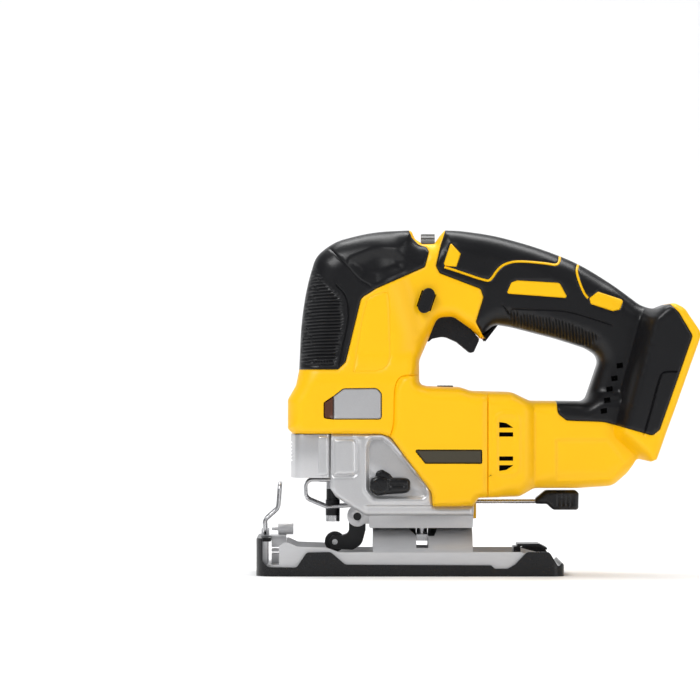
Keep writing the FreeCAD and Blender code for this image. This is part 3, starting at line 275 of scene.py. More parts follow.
def softened(node, radius):
    """A copy of a CAD node with rounded edges; it stands for the node and rides on its body."""
    mesh = frame["nodes"][node].data.copy()
    build = joined_faces(node)
    build.to_mesh(mesh)
    build.free()
    mesh.materials.clear()
    mesh.materials.append(finish_of[node])
    piece = bpy.data.objects.new(node + "_piece", mesh)
    scene.collection.objects.link(piece)
    mesh.shade_smooth()
    mesh.set_sharp_from_angle(angle=edge_angle)
    bevel = piece.modifiers.new("edges", "BEVEL")
    bevel.width = radius * MM
    bevel.segments = 2
    bevel.limit_method = "ANGLE"
    bevel.angle_limit = edge_angle
    bevel.harden_normals = True
    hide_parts(node)
    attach(piece, body_of_node[node])
    return piece


for name, radius in (("shoe", 0.5), ("overshoe", 0.6), ("front_block", 0.4),
                     ("front_knob", 0.4), ("rear_latch", 0.3),
                     ("guide_arm", 0.5), ("guide_roller", 0.3),
                     ("trigger", 0.9), ("lock_off_button", 0.5), ("speed_dial", 0.25),
                     ("blower_slider", 0.3)):
    softened(name, radius)


def painted(piece, planes, material, inside):
    """Cuts a piece's faces along planes (a point and a normal) and gives those inside a second finish."""
    build = bmesh.new()
    build.from_mesh(piece.data)
    for spot, way in planes:
        bmesh.ops.bisect_plane(build, geom=build.verts[:] + build.edges[:] + build.faces[:],
                               plane_co=[value * MM for value in spot], plane_no=way)
    for face in build.faces:
        face.material_index = int(inside(*(face.calc_center_median() / MM)))
    build.to_mesh(piece.data)
    build.free()
    piece.data.materials.append(material)
    piece.data.set_sharp_from_angle(angle=edge_angle)


# The blade clamp is blackened steel: the collar and the end of the plunger above it, down to a
# bright tip where the blade goes in.
black_top, bright_tip = 46.5, 31.8
painted(softened("plunger", 0.2), [((0, 0, black_top), (0, 0, 1))], black_steel,
        lambda x, y, z: z < black_top)
painted(softened("blade_collar", 0.2), [((0, 0, bright_tip), (0, 0, 1))], ground_steel,
        lambda x, y, z: z < bright_tip)
# The arch is folded steel. Around its clamp slot, a wedge cut off at its foot gets the black steel finish:
# painted shade where the slot's inside lies in shadow.
wedge_foot, wedge_waist, wedge_front, wedge_rear = 21, 25.3, -1, 15.5
painted(softened("bevel_arch", 0.3),
        [((0, 0, wedge_foot), (0, 0, 1)), ((wedge_front, 0, wedge_waist), (4.3, 0, 5)),
         ((wedge_rear, 0, wedge_waist), (4.3, 0, -2))],
        black_steel,
        lambda x, y, z: (z > wedge_foot and (x - wedge_front) * 4.3 + (z - wedge_waist) * 5 > 0
                         and (x - wedge_rear) * 4.3 < (z - wedge_waist) * 2))


# The moulded body: two yellow half shells, screwed together on the middle plane, with three
# rubber skins moulded over them. Both flanks are shaped as one surface whose half-width changes
# over the side view: wide over the motor, the gear head and the battery foot, narrow and round
# along the handle. Parting lines, grooves, ribs and vents are pressed into the same surface.
def rounded(points, step=1.5):
    """A closed side outline of (x, z, corner radius) as closely spaced points."""
    spots = []
    count = len(points)
    for i, (x, z, radius) in enumerate(points):
        here = np.array((x, z), float)
        back = np.array(points[i - 1][:2], float) - here
        on = np.array(points[(i + 1) % count][:2], float) - here
        back_length, on_length = np.linalg.norm(back), np.linalg.norm(on)
        back, on = back / back_length, on / on_length
        turn = math.pi - math.acos(float(np.clip(back @ on, -1, 1)))
        reach = min(radius * math.tan(turn / 2), 0.49 * back_length, 0.49 * on_length)
        if reach < 0.02:
            spots.append(here)
            continue
        bend = reach / math.tan(turn / 2)
        inward = (back + on) / np.linalg.norm(back + on)
        centre = here + inward * math.hypot(reach, bend)
        start, end = here + back * reach - centre, here + on * reach - centre
        pieces = max(2, math.ceil(bend * turn / step), math.ceil(turn / 0.3))
        for k in range(pieces + 1):
            share = k / pieces
            way = start * math.sin((1 - share) * turn) + end * math.sin(share * turn)
            spots.append(centre + way / math.sin(turn) if turn < 3 else centre + start)
    return spaced(np.array(spots), step, True)


def spaced(spots, step, closed):
    """The same path with points added so that none is further than step from the next."""
    result = []
    count = len(spots)
    for i in range(count if closed else count - 1):
        here, following = spots[i], spots[(i + 1) % count]
        pieces = max(1, math.ceil(np.linalg.norm(following - here) / step))
        if np.linalg.norm(following - here) < 1e-4:
            continue
        for k in range(pieces):
            result.append(here + (following - here) * k / pieces)
    if not closed:
        result.append(spots[-1])
    return np.array(result)


def line(points, step=1.0):
    """An open line through points, with its corners softened once."""
    spots = np.array(points, float)
    for _ in range(2):
        cut = [spots[0]]
        for here, following in zip(spots[:-1], spots[1:]):
            cut += [here * 0.75 + following * 0.25, here * 0.25 + following * 0.75]
        spots = np.array(cut + [spots[-1]])
    return spaced(spots, step, False)


def stroke(points, width):
    """A line with a width, as a closed outline."""
    spots = line(points, 1.2)
    way = np.gradient(spots, axis=0)
    way /= np.linalg.norm(way, axis=1)[:, None]
    across = np.stack((-way[:, 1], way[:, 0]), axis=1) * width / 2
    return np.concatenate((spots + across, (spots - across)[::-1]))


def distance(spots, path, closed=True):
    """Distance from each spot to a path."""
    start = path if closed else path[:-1]
    run = (np.roll(path, -1, axis=0) if closed else path[1:]) - start
    square = np.maximum((run ** 2).sum(axis=1), 1e-12)
    result = np.empty(len(spots))
    for low in range(0, len(spots), 3000):
        part = spots[low:low + 3000, None, :] - start[None]
        share = np.clip((part * run).sum(axis=2) / square, 0, 1)
        gap = part - share[..., None] * run
        result[low:low + 3000] = np.sqrt((gap ** 2).sum(axis=2).min(axis=1))
    return result


def within(spots, path):
    """Whether each spot lies inside a closed path."""
    result = np.zeros(len(spots), bool)
    following = np.roll(path, -1, axis=0)
    x, z = spots[:, 0], spots[:, 1]
    for (x0, z0), (x1, z1) in zip(path, following):
        if z0 == z1:
            continue
        crosses = (z0 > z) != (z1 > z)
        result ^= crosses & (x < (x1 - x0) * (z - z0) / (z1 - z0) + x0)
    return result


def nearby(spots, path, measure, far):
    """measure(spots, path), worked out only for the spots close to the path."""
    close = ((spots > path.min(axis=0) - 14) & (spots < path.max(axis=0) + 14)).all(axis=1)
    result = np.full(len(spots), far)
    result[close] = measure(spots[close], path)
    return result


def signed(spots, path):
    """Distance inside (positive) or outside (negative) a closed path."""
    def measure(part, way):
        return np.where(within(part, way), 1, -1) * distance(part, way)

    return nearby(spots, path, measure, -99.0)


def beside(spots, path):
    """Distance from each spot to an open line."""
    return nearby(spots, path, lambda part, way: distance(part, way, False), 99.0)


def ease(value):
    value = np.clip(value, 0, 1)
    return value * value * (3 - 2 * value)


def quarter_round(value):
    value = np.clip(value, 0, 1)
    return np.sqrt(np.maximum(1 - (1 - value) ** 2, 0))


def ring_points(path, offsets, closed=True):
    """Points beside a path at the given offsets."""
    way = (np.roll(path, -1, axis=0) - np.roll(path, 1, axis=0)) if closed else np.gradient(path, axis=0)
    way /= np.maximum(np.linalg.norm(way, axis=1), 1e-9)[:, None]
    across = np.stack((-way[:, 1], way[:, 0]), axis=1)
    return np.concatenate([path + across * offset for offset in offsets])


def rib_points(area, slope, pitch, along):
    """Rows of points that follow ribs: slope is the ribs' direction in degrees."""
    angle = math.radians(slope)
    way = np.array((math.cos(angle), math.sin(angle)))
    across = np.array((-way[1], way[0]))
    centre = area.mean(axis=0)
    reach = np.linalg.norm(area - centre, axis=1).max()
    rows = np.arange(-math.ceil(reach / pitch) * 4, math.ceil(reach / pitch) * 4 + 1) * pitch / 4
    columns = np.arange(-reach, reach, along)
    a, b = np.meshgrid(columns, rows)
    spots = centre + a.reshape(-1, 1) * way + b.reshape(-1, 1) * across
    return spots[within(spots, area)]


def grid_between(low, high, step):
    """Evenly spaced points over a rectangle of the side view."""
    across, up = np.meshgrid(np.arange(low[0], high[0], step), np.arange(low[1], high[1], step))
    return np.stack((across.ravel(), up.ravel()), axis=1)


def grid_over(path, step):
    """Evenly spaced points over the rectangle around a path."""
    return grid_between(path.min(axis=0), path.max(axis=0), step)


def ribs(spots, area, slope, pitch, depth):
    """How deep the grooves between an area's ribs are at each spot."""
    angle = math.radians(slope)
    across = np.array((-math.sin(angle), math.cos(angle)))
    phase = (spots - area.mean(axis=0)) @ across
    wave = 0.5 - 0.5 * np.cos(2 * math.pi * phase / pitch)
    return depth * wave ** 1.5 * ease(signed(spots, area) / 1.2)


def triangulated(outlines, loose):
    """Triangles over the side view that follow every closed outline and use the loose points."""
    taken = {}
    spots, edges = [], []

    def cell(spot):
        return int(spot[0] // 0.5), int(spot[1] // 0.5)

    def take(spot):
        taken.setdefault(cell(spot), []).append(spot)
        spots.append(Vector(spot))

    def free(spot, gap):
        i, k = cell(spot)
        for a in (i - 1, i, i + 1):
            for b in (k - 1, k, k + 1):
                for other in taken.get((a, b), ()):
                    if (other[0] - spot[0]) ** 2 + (other[1] - spot[1]) ** 2 < gap * gap:
                        return False
        return True

    for outline in outlines:
        first = len(spots)
        for spot in outline:
            take(spot)
        count = len(outline)
        edges += [(first + i, first + (i + 1) % count) for i in range(count)]
    for group, gap in loose:
        for spot in group:
            if free(spot, gap):
                take(spot)
    result = delaunay_2d_cdt(spots, edges, [], 0, 0.0005)
    corners = np.array([tuple(v) for v in result[0]])
    return corners, np.array([tuple(f) for f in result[2]])


silhouette = rounded([
    (-63.5, 77, 1.5), (-66.5, 79.5, 2), (-66.5, 95.5, 3), (-62, 103.5, 6), (-60.3, 112, 8),
    (-59.2, 138, 400), (-56, 158, 200), (-51.2, 174, 14), (-41, 182, 40), (-20, 187.4, 200),
    (1, 188.3, 2), (3.2, 183.5, 2), (7, 181, 2), (14, 181.2, 2), (16.5, 185, 2), (19.4, 188.3, 1.5),
    (28, 188, 100), (46, 185.6, 400), (70, 179, 400), (92, 170.5, 400),
    (110, 159.5, 200), (126, 147.5, 16), (133, 144.7, 12), (143.5, 148.6, 5), (149.5, 145.3, 7),
    (158.3, 131.5, 5), (156.7, 127, 0), (136.5, 70.3, 0), (134, 63.3, 1.2), (131, 62, 1.5),
    (124, 63.5, 2), (119, 55.5, 8),
    (111, 48.5, 9), (92, 47.2, 20), (68, 47.2, 6), (60, 42.7, 6), (37.7, 42, 1),
    (34.6, 37.5, 0.5), (12.5, 37.5, 1), (12, 45, 8), (-10.5, 75.5, 6), (-16, 77, 3)])[::-1]
hand_opening = rounded([
    (5.4, 117, 8), (5.4, 104, 3), (10, 102.8, 3), (28, 102.3, 8), (34, 100.2, 8), (56, 99.6, 6),
    (66, 94.8, 8), (96.5, 94.5, 4), (104.6, 118.5, 7), (97, 123.6, 14), (80, 129, 100),
    (56, 135.2, 60), (46, 136.8, 5), (40.3, 128.4, 1), (33, 134.7, 6), (24, 141, 6),
    (15.3, 140.5, 5), (10.8, 129.5, 4)])
front_zone = rounded([
    (-75, 112, 0), (-39, 112, 2), (-34.8, 116, 3), (-26.3, 151, 4), (-18, 156.2, 4), (8.5, 168, 2),
    (10.8, 176.5, 2), (9.3, 179, 1), (5, 180.5, 1), (1.5, 184, 1), (-3, 195, 0), (-75, 195, 0)])
handle_front = [(22, 195, 0), (17, 180, 4), (14.3, 168.5, 3), (16.5, 164.5, 2), (38.8, 156, 2),
                (40.3, 151.5, 1), (36.2, 138, 1.5), (42, 127, 0)]
foot_edge = [(77, 96, 0), (80.2, 94.6, 0), (80.6, 88, 4), (85.5, 84.2, 3), (106, 83.5, 20),
             (131.5, 76.2, 3), (135.5, 79.5, 3), (153.4, 130.5, 3), (146, 143, 3), (139, 150, 0)]
handle_zone = rounded(handle_front + [(100, 120, 0), (127, 151, 0), (127, 195, 0)])
post_zone = rounded(foot_edge + [(127, 151, 0), (100, 120, 0), (90, 100, 0)])
# The handle's and the post's skins meet without a groove, so one outline runs around both.
rear_rubber = rounded(handle_front + [(90, 112, 0), (90, 100, 0)] + foot_edge + [(137, 195, 0)])
badge_zone = rounded([(-41.5, 85.2, 0.3), (-15.5, 85.2, 1.5), (-15.5, 99, 2), (-18, 101.7, 2.5),
                      (-36, 101.5, 2), (-41.5, 97.3, 0.3)], 1.0)
lens_zone = rounded([(-46.5, 85.8, 1), (-41.5, 85.2, 0.3), (-41.5, 97.3, 0.3), (-46.5, 94, 1)], 1.0)
plate_zone = rounded([(3, 68.2, 0.5), (8.5, 61.2, 0.5), (39, 61.2, 0.5), (39, 68.2, 0.5)], 1.0)
inlay_zones = [rounded(points, 1.0) for points in (
    [(22.5, 181.3, 0.6), (28, 175.3, 1), (25.6, 168.2, 0.6), (19.3, 168.6, 0.6), (18.8, 170, 0.6)],
    [(53, 153.5, 1), (55.6, 159.6, 1.5), (59, 160.7, 2), (82, 159.3, 2), (86.5, 151, 1)],
    [(98.2, 151, 1), (103, 154.6, 1), (117, 150, 1.5), (115, 144.8, 1.5), (111, 143.9, 1),
     (99, 147.8, 1)])]
inlay_zones.append(stroke([(19, 168), (24, 166.5), (42, 160.3), (44.5, 161), (49, 168), (55, 170.8),
                           (62, 171.2), (75, 170), (80, 169), (82, 170.5), (82.5, 174)], 1.3))
inlay_zones.append(stroke([(92.5, 169.5), (91, 165), (95, 154), (97.5, 151)], 1.3))
vents = [rounded(points, 0.8) for points in (
    [(48.6, 80.4, 0.2), (56.4, 80.4, 0.2), (52.5, 83.0, 0.6), (48.6, 83.6, 0.3)],
    [(48.6, 75.6, 0.3), (56.2, 75.6, 0.3), (56.2, 78.0, 0.3), (48.6, 78.0, 0.3)],
    [(48.6, 62.5, 0.3), (56.2, 62.5, 0.3), (56.2, 64.9, 0.3), (48.6, 64.9, 0.3)],
    [(48.6, 60.1, 0.2), (48.6, 56.9, 0.3), (52.5, 57.5, 0.6), (56.4, 60.1, 0.2)])]
button_hole = stroke([(7.6, 145.2), (8, 146.3), (10.3, 153), (10.7, 154.2)], 8.2)
wide_places = [  # outline, half-width, half-width at its border, how far it takes to rise, crisp
    ([(-90, 40, 0), (10, 40, 0), (8, 118, 0), (-90, 118, 0)], 28, 24.5, 14, False),
    ([(-90, 80, 0), (9, 80, 0), (9, 132, 0), (3, 150, 0), (-4, 172, 0), (-10, 210, 0), (-90, 210, 0)],
     24.5, 18, 18, False),
    ([(14, 130, 0), (14, 112, 0), (5.6, 112, 0), (5.6, 108.7, 1), (-4, 108.7, 4), (-8.2, 101, 5),
      (-8.2, 84, 5), (-11, 75, 1), (-30, 60, 0), (0, 10, 0), (42.5, 10, 0), (42.5, 130, 0)],
     30, 26, 3.5, True),
    ([(30, 10, 0), (68, 10, 0), (68, 130, 0), (30, 130, 0)], 29, 22, 7, True),
    ([(45, 10, 0), (150, 10, 0), (140, 66, 0), (140, 92, 0), (125, 100, 0), (45, 100, 0)],
     24.5, 18, 8, False),
    ([(108.5, 76, 8), (129, 150, 0), (135, 200, 0), (220, 200, 0), (220, 20, 0), (134, 20, 0),
      (124, 62, 0)], 36.5, 18, 9, False)]
wide_places = [(rounded(points), *rest) for points, *rest in wide_places]
rim_places = np.array([  # x, z, rounding of the rim, share of the half-width left at the rim
    (-66, 90, 9, .55), (-60, 120, 12, .5), (-58, 140, 15, .42), (-50, 172, 16, .4),
    (-20, 186, 15, .38), (10, 188, 13, .4), (50, 184, 13, .34), (95, 168, 13, .34),
    (125, 149, 9, .5), (147, 147, 4, .85), (158, 130, 2.5, .94), (146, 97, 2.5, .94),
    (134, 65, 2.5, .92), (127, 62, 4, .85), (115, 52, 9, .6), (90, 47, 10, .55), (60, 43, 7, .6),
    (38, 41, 4, .75), (20, 37.5, 3, .85), (0, 60, 2.5, .9), (-16, 77, 2.5, .9), (-50, 77, 2.5, .85),
    (5, 112, 6, .5), (12, 103, 6, .6), (30, 102, 6, .6), (55, 100, 6, .6), (80, 95, 6, .6),
    (101, 107, 10, .4), (90, 126, 12, .36), (60, 134, 12, .36), (43, 131, 8, .45), (25, 140, 6, .6),
    (11, 133, 6, .5)])
grip_ribs = rounded([(-64, 113.8, 0), (-40.5, 113.8, 1), (-35.8, 138, 4), (-36.8, 150, 3),
                     (-46, 160, 3), (-52, 170, 1), (-64, 170, 0)])
handle_ribs = rounded([(52.5, 145.2, 1), (55.6, 135.6, 1), (80, 129.4, 8), (98.6, 123.4, 1),
                       (106, 130.5, 2), (84, 139.5, 8)])
grip_rib_run, handle_rib_run = (2, 1.8), (98, 1.7)  # the ribs' slope in degrees and their pitch
grooves = [  # line, half-width, depth
    (line([(42.5, 38), (42.5, 104)]), 0.45, 1.1),
    (line([(5.5, 108.9), (-3, 108.9), (-6.5, 107), (-8.4, 101), (-8.4, 85), (-9.3, 79), (-11.5, 74)]),
     0.5, 0.7),
    (line([(-38.5, 114), (-36, 128), (-33, 140), (-34, 152), (-40, 158)]), 0.7, 0.6),
    (line([(-47, 181), (-36, 171), (-28, 161.5), (-22, 158)]), 0.9, 0.6),
    (line([(51, 147), (52, 146), (55, 141), (56, 135)]), 0.6, 0.5),
    (line([(56, 145), (80, 144.5), (90, 143), (110, 136.5)]), 0.6, 0.5),
    (line([(127, 77), (131, 91), (135.5, 108.5), (138, 111), (144.5, 111)]), 0.8, 0.8),
    (line([(-30.4, 111), (-27, 131), (-23.5, 150), (-20, 152.3), (-12.5, 154.6), (-11, 153), (-10.6, 130),
           (-10.5, 111.5), (-30.4, 111)]), 0.4, 0.3)]
palm_hollow = rounded([(-27, 160, 2), (-18, 158.5, 4), (-2, 165.5, 4), (-1, 172, 6), (-6, 179, 6),
                       (-20, 180, 10), (-38, 172, 5)])
tail_panel = rounded([(79, 74.5, 1), (79, 51, 2), (110, 52, 4), (118, 62, 4), (108, 74.5, 1)])
vent_panel = rounded([(46.8, 88, 4), (59, 88, 4), (59, 55.5, 4), (46.8, 55.5, 4)], 1.0)
post_slots = [rounded([(x - 1.9, z + 1.2, 0.3), (x + 1.6, z + 1.7, 0.3), (x + 1.9, z - 1.2, 0.3),
                       (x - 1.6, z - 1.7, 0.3)], 0.7)
              for x, z in ((105.7, 89.5), (107.7, 95.3), (109.2, 101.3), (111.9, 107.2), (114.8, 114.2))]
head_screws = [(-56.5, 87), (-47, 167), (-6, 158), (-3, 111), (68, 57), (68, 86), (111, 57), (52, 160),
               (98, 151), (132, 137)]
screw_rings = [rounded([(x - 4, z - 4, 3.9), (x + 4, z - 4, 3.9), (x + 4, z + 4, 3.9),
                        (x - 4, z + 4, 3.9)], 0.9) for x, z in head_screws]


def half_width(spots):
    """Half-width of the body at each spot of its flanks, in millimetres."""
    width = np.full(len(spots), 18.0)
    for path, top, low, reach, crisp in wide_places:
        inside = signed(spots, path)
        share = inside / reach
        rise = quarter_round(share) if crisp else np.sin(np.clip(share, 0, 1) * math.pi / 2)
        level = np.where(inside < 0, low + (8 if crisp else 0.6) * inside, low + (top - low) * rise)
        blend = 0.5 if crisp else 2.0
        meet = np.maximum(blend - np.abs(width - level), 0) / blend
        width = np.maximum(width, level) + meet * meet * blend / 4
    gap = spots[:, None, :] - rim_places[None, :, :2]
    weight = 1 / ((gap ** 2).sum(axis=2) + 4) ** 2
    weight /= weight.sum(axis=1)[:, None]
    reach, left = weight @ rim_places[:, 2], weight @ rim_places[:, 3]
    rim = np.minimum(distance(spots, silhouette), distance(spots, hand_opening))
    width *= left + (1 - left) * quarter_round(rim / reach)
    width -= 3.0 * ease(signed(spots, palm_hollow) / 7)
    width -= 0.9 * ease(signed(spots, tail_panel) / 1.6)
    width += 0.7 * ease(1 - np.abs(signed(spots, vent_panel)) / 2.2)
    for path in (front_zone, rear_rubber):
        inside = signed(spots, path)
        width += 0.35 * ease(inside / 1.3) - 0.55 * ease(1 - np.abs(inside) / 0.75)
    for path, reach, depth in grooves:
        width -= depth * ease(1 - beside(spots, path) / reach)
    for path in inlay_zones:
        inside = signed(spots, path)
        width += 0.3 * ease(inside / 0.5) - 0.3 * ease(1 - np.abs(inside) / 0.5)
    for path in (badge_zone, lens_zone, plate_zone):
        inside = signed(spots, path)
        width += 0.35 * ease(inside / 0.5) - 0.4 * ease(1 - np.abs(inside) / 0.5)
    for path in vents + post_slots:
        width -= 3.0 * ease(signed(spots, path) / 0.35)
    width -= 5.0 * ease(signed(spots, button_hole) / 0.6)
    width -= ribs(spots, grip_ribs, *grip_rib_run, 0.8) + ribs(spots, handle_ribs, *handle_rib_run, 0.7)
    return width


rim_offsets = (-6, -4.2, -2.7, -1.5, -0.7, -0.22, 0.22, 0.7, 1.5, 2.7, 4.2, 6)
rim_rings = np.concatenate([ring_points(path, rim_offsets) for path in (silhouette, hand_opening)])
# Each group of points comes with the gap that it keeps from the points before it.
loose_points = [(rib_points(grip_ribs, *grip_rib_run, 1.5), 0.35),
                (rib_points(handle_ribs, *handle_rib_run, 1.4), 0.3)]
for path, reach, depth in grooves:
    loose_points.append((ring_points(path, (0, -reach * 0.5, reach * 0.5, -reach, reach), False), 0.24))
for path in [front_zone, rear_rubber]:
    loose_points.append((ring_points(path, (-0.75, -0.38, 0.38, 0.75, 1.3)), 0.3))
for path in inlay_zones + [badge_zone, lens_zone, plate_zone]:
    loose_points.append((ring_points(path, (-0.5, -0.25, 0.25, 0.5)), 0.22))
for path in [palm_hollow, tail_panel, vent_panel]:
    loose_points.append((ring_points(path, (-2, -1, -0.4, 0.4, 1, 2, 3.5)), 0.4))
for path in vents + post_slots + [button_hole] + screw_rings:
    loose_points.append((ring_points(path, (-0.5, -0.3, 0.3, 0.5)), 0.22))
loose_points.append((rim_rings, 0.2))
for path, _, _, reach, crisp in wide_places:
    loose_points.append((ring_points(path, (-1.5, -0.6, 0.4, 1, 2, 3.4, 5)), 0.5))
loose_points.append((grid_between((-66, 36), (160, 190), 1.6), 0.9))
outlines = [silhouette, hand_opening, front_zone, handle_zone, post_zone, rear_rubber, badge_zone,
            lens_zone, plate_zone, *inlay_zones, *vents, *post_slots, button_hole, *screw_rings]
corners, triangles = triangulated(outlines, loose_points)
middles = corners[triangles].mean(axis=1)
solid_part = within(middles, silhouette) & ~within(middles, hand_opening)
triangles, middles = triangles[solid_part], middles[solid_part]
flat_area = np.cross(corners[triangles[:, 1]] - corners[triangles[:, 0]],
                     corners[triangles[:, 2]] - corners[triangles[:, 0]])
triangles[flat_area < 0] = triangles[flat_area < 0][:, ::-1]
zone = np.zeros(len(triangles), int)         # 0 yellow shell
for number, paths in ((1, [front_zone]), (2, [handle_zone]), (3, [post_zone]), (4, inlay_zones),
                      (5, [badge_zone]), (6, [lens_zone]), (7, [plate_zone])):
    for path in paths:
        zone[within(middles, path)] = number
# Painted shade: the vents, the post's slots, the button hole and a thin band of the shell around the badge,
# the lens and the plate take the deep_shadow finish.
dark = np.zeros(len(triangles), bool)
for path in vents + post_slots + [button_hole]:
    dark |= within(middles, path)
for path in (badge_zone, lens_zone, plate_zone):
    dark |= (zone == 0) & (signed(middles, path) > -0.4)
left_width = half_width(corners)
right_width = left_width - sum(2.6 * ease(signed(corners, path) / 0.5) for path in screw_rings)

owner = {}
for number, triangle in enumerate(triangles):
    for a, b in zip(triangle, np.roll(triangle, -1)):
        owner[(a, b)] = number
rim_edges = [(a, b, number) for (a, b), number in owner.items() if (b, a) not in owner]

# The battery slides up the straight, sloping end of the foot. Its channel runs from the foot's lower
# corner to an end wall just below the top one.
seam = 0.05  # the half shells stop this far from the middle plane
slope_low, slope_high = np.array((134.0, 63.3)), np.array((158.3, 131.5))
slope_way = (slope_high - slope_low) / np.linalg.norm(slope_high - slope_low)
slope_in = np.array((-slope_way[1], slope_way[0]))
channel_end = float((np.array((156.7, 127.0)) - slope_low) @ slope_way)
# The channel's walls past the rim and its end wall take the piece's second finish, deep_shadow: painted
# shade inside the channel.
channel_profile = [  # half-width and depth
    (22.0, 0.0), (22.0, 4.0), (27.0, 4.0), (27.0, 8.5), (22.0, 8.5), (22.0, 13.0), (0.0, 13.0)]
open_rims = [  # where the rim of the shell is open: x from, x to, z from, z to, half-width or lip
    (-62, -14, 76, 78, "lip"), (-16, 14, 36, 76.9, "lip"), (12.2, 34.8, 37, 38, "lip"),
    (8, 41, 120, 143, 8.8), (6, 14.5, 180, 183, 10.8), (121.5, 133.4, 60, 64, 22),
    (34.8, 38.6, 37.9, 42.2, 20.5)]


def rim_gap(middle, width):
    """Half of the gap left in the rim of the shell at one place."""
    for x0, x1, z0, z1, gap in open_rims:
        if x0 < middle[0] < x1 and z0 < middle[1] < z1:
            return width - 3 if gap == "lip" else gap
    return 0.0


def place_of(spot, y):
    return (spot[0] * MM, y * MM, spot[1] * MM)


def moulded(name, numbers, nodes, materials, thickness, sides=(-1, 1)):
    """One piece of the body: its part of the flanks and rim, closed by an inner skin."""
    points, faces, finishes = [], [], []
    index = {}

    def point(key, spot, y):
        if key not in index:
            index[key] = len(points)
            points.append(place_of(spot, y))
        return index[key]

    def channel(side, c):
        return [point((side, c, step), corners[c] + slope_in * depth, side * max(y, seam))
                for step, (y, depth) in enumerate(channel_profile)]

    chosen = np.isin(zone, numbers)
    for side in sides:
        widths = left_width if side < 0 else right_width
        for number in np.nonzero(chosen)[0]:
            face = [point((side, int(c)), corners[c], side * widths[c]) for c in triangles[number]]
            faces.append(face if side < 0 else face[::-1])
            finishes.append(int(dark[number] and len(materials) > 1))
        for a, b, number in rim_edges:
            if not chosen[number]:
                continue
            a, b = int(a), int(b)
            middle = (corners[a] + corners[b]) / 2
            gap = rim_gap(middle, min(widths[a], widths[b]))
            along = (middle - slope_low) @ slope_way
            off = abs((middle - slope_low) @ slope_in)
            if off < 0.6 and 0 < along < channel_end:
                ends = [[point((side, c), corners[c], side * widths[c])] for c in (a, b)]
                for row, c in zip(ends, (a, b)):
                    row += channel(side, c)
                for k in range(len(ends[0]) - 1):
                    face = [ends[1][k], ends[0][k], ends[0][k + 1], ends[1][k + 1]]
                    faces.append(face if side < 0 else face[::-1])
                    finishes.append(int(k > 0 and len(materials) > 1))
                continue
            inner = max(gap, seam) if len(sides) == 1 else gap
            if inner == 0.0:
                if side > 0:
                    continue
                face = [point((-1, b), corners[b], -left_width[b]),
                        point((-1, a), corners[a], -left_width[a]),
                        point((1, a), corners[a], right_width[a]),
                        point((1, b), corners[b], right_width[b])]
                faces.append(face)
                finishes.append(0)
                continue
            mark = round(inner, 1) if gap else 0
            face = [point((side, b), corners[b], side * widths[b]),
                    point((side, a), corners[a], side * widths[a]),
                    point((side, a, "in", mark), corners[a], side * min(inner, widths[a] - 0.5)),
                    point((side, b, "in", mark), corners[b], side * min(inner, widths[b] - 0.5))]
            faces.append(face if side < 0 else face[::-1])
            finishes.append(0)
        if 0 in numbers:
            reach = (corners - slope_low) @ slope_way - channel_end
            off = (corners - slope_low) @ slope_in
            for c in np.nonzero((np.abs(reach) < 0.02) & (np.abs(off) < 0.1))[0][:1]:
                c = int(c)
                wall = channel(side, c)
                wall.append(point((side, c, "end"), corners[c], side * seam))
                faces.append(wall if side > 0 else wall[::-1])
                finishes.append(int(len(materials) > 1))
    mesh = bpy.data.meshes.new(name)
    mesh.from_pydata(points, [], faces)
    mesh.materials.clear()
    for material in materials:
        mesh.materials.append(material)
    mesh.polygons.foreach_set("material_index", finishes)
    build = bmesh.new()
    build.from_mesh(mesh)
    bmesh.ops.remove_doubles(build, verts=build.verts, dist=0.05 * MM)
    bmesh.ops.dissolve_degenerate(build, edges=build.edges, dist=0.03 * MM)
    bmesh.ops.solidify(build, geom=build.faces, thickness=thickness * MM)
    build.to_mesh(mesh)
    build.free()
    mesh.shade_smooth()
    mesh.set_sharp_from_angle(angle=math.radians(38))
    piece = bpy.data.objects.new(name, mesh)
    scene.collection.objects.link(piece)
    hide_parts(*nodes)
    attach(piece, "tool_body")
    return piece


moulded("left_shell", [0], ["left_housing"], [yellow_plastic, deep_shadow], 1.2, (-1,))
moulded("right_shell", [0], ["right_housing"], [yellow_plastic, deep_shadow], 1.2, (1,))
# A tab of the right shell shows below the motor, behind the gear case.
tab_middle, tab_size = (36, 8, 36), (2, 10, 12)
tab = bmesh.new()
bmesh.ops.create_cube(tab, size=1)
for corner in tab.verts:
    corner.co = [(middle + size * share) * MM
                 for middle, size, share in zip(tab_middle, tab_size, corner.co)]
bmesh.ops.bevel(tab, geom=tab.edges[:], offset=0.4 * MM, segments=2, profile=0.5, affect="EDGES")
tab_mesh = bpy.data.meshes.new("shell_tab")
tab.to_mesh(tab_mesh)
tab.free()
tab_mesh.materials.append(yellow_plastic)
shell_tab = bpy.data.objects.new("shell_tab", tab_mesh)
scene.collection.objects.link(shell_tab)
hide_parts("right_housing")
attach(shell_tab, "tool_body")
moulded("front_skin", [1], ["front_grip"], [black_rubber], 1.0)
moulded("handle_skin", [2], ["handle_grip"], [black_rubber], 1.0)
moulded("post_skin", [3], ["post_cover"], [black_rubber, deep_shadow], 1.0)
moulded("handle_inlays", [4], ["grip_inlays"], [yellow_plastic], 0.8)
moulded("badge_plate", [5], ["side_badge"], [silver_plate], 0.8)
moulded("badge_window", [6], ["badge_lens"], [smoked_plastic], 0.8)
moulded("flank_plate", [7], ["side_plate"], [dark_print], 0.8)


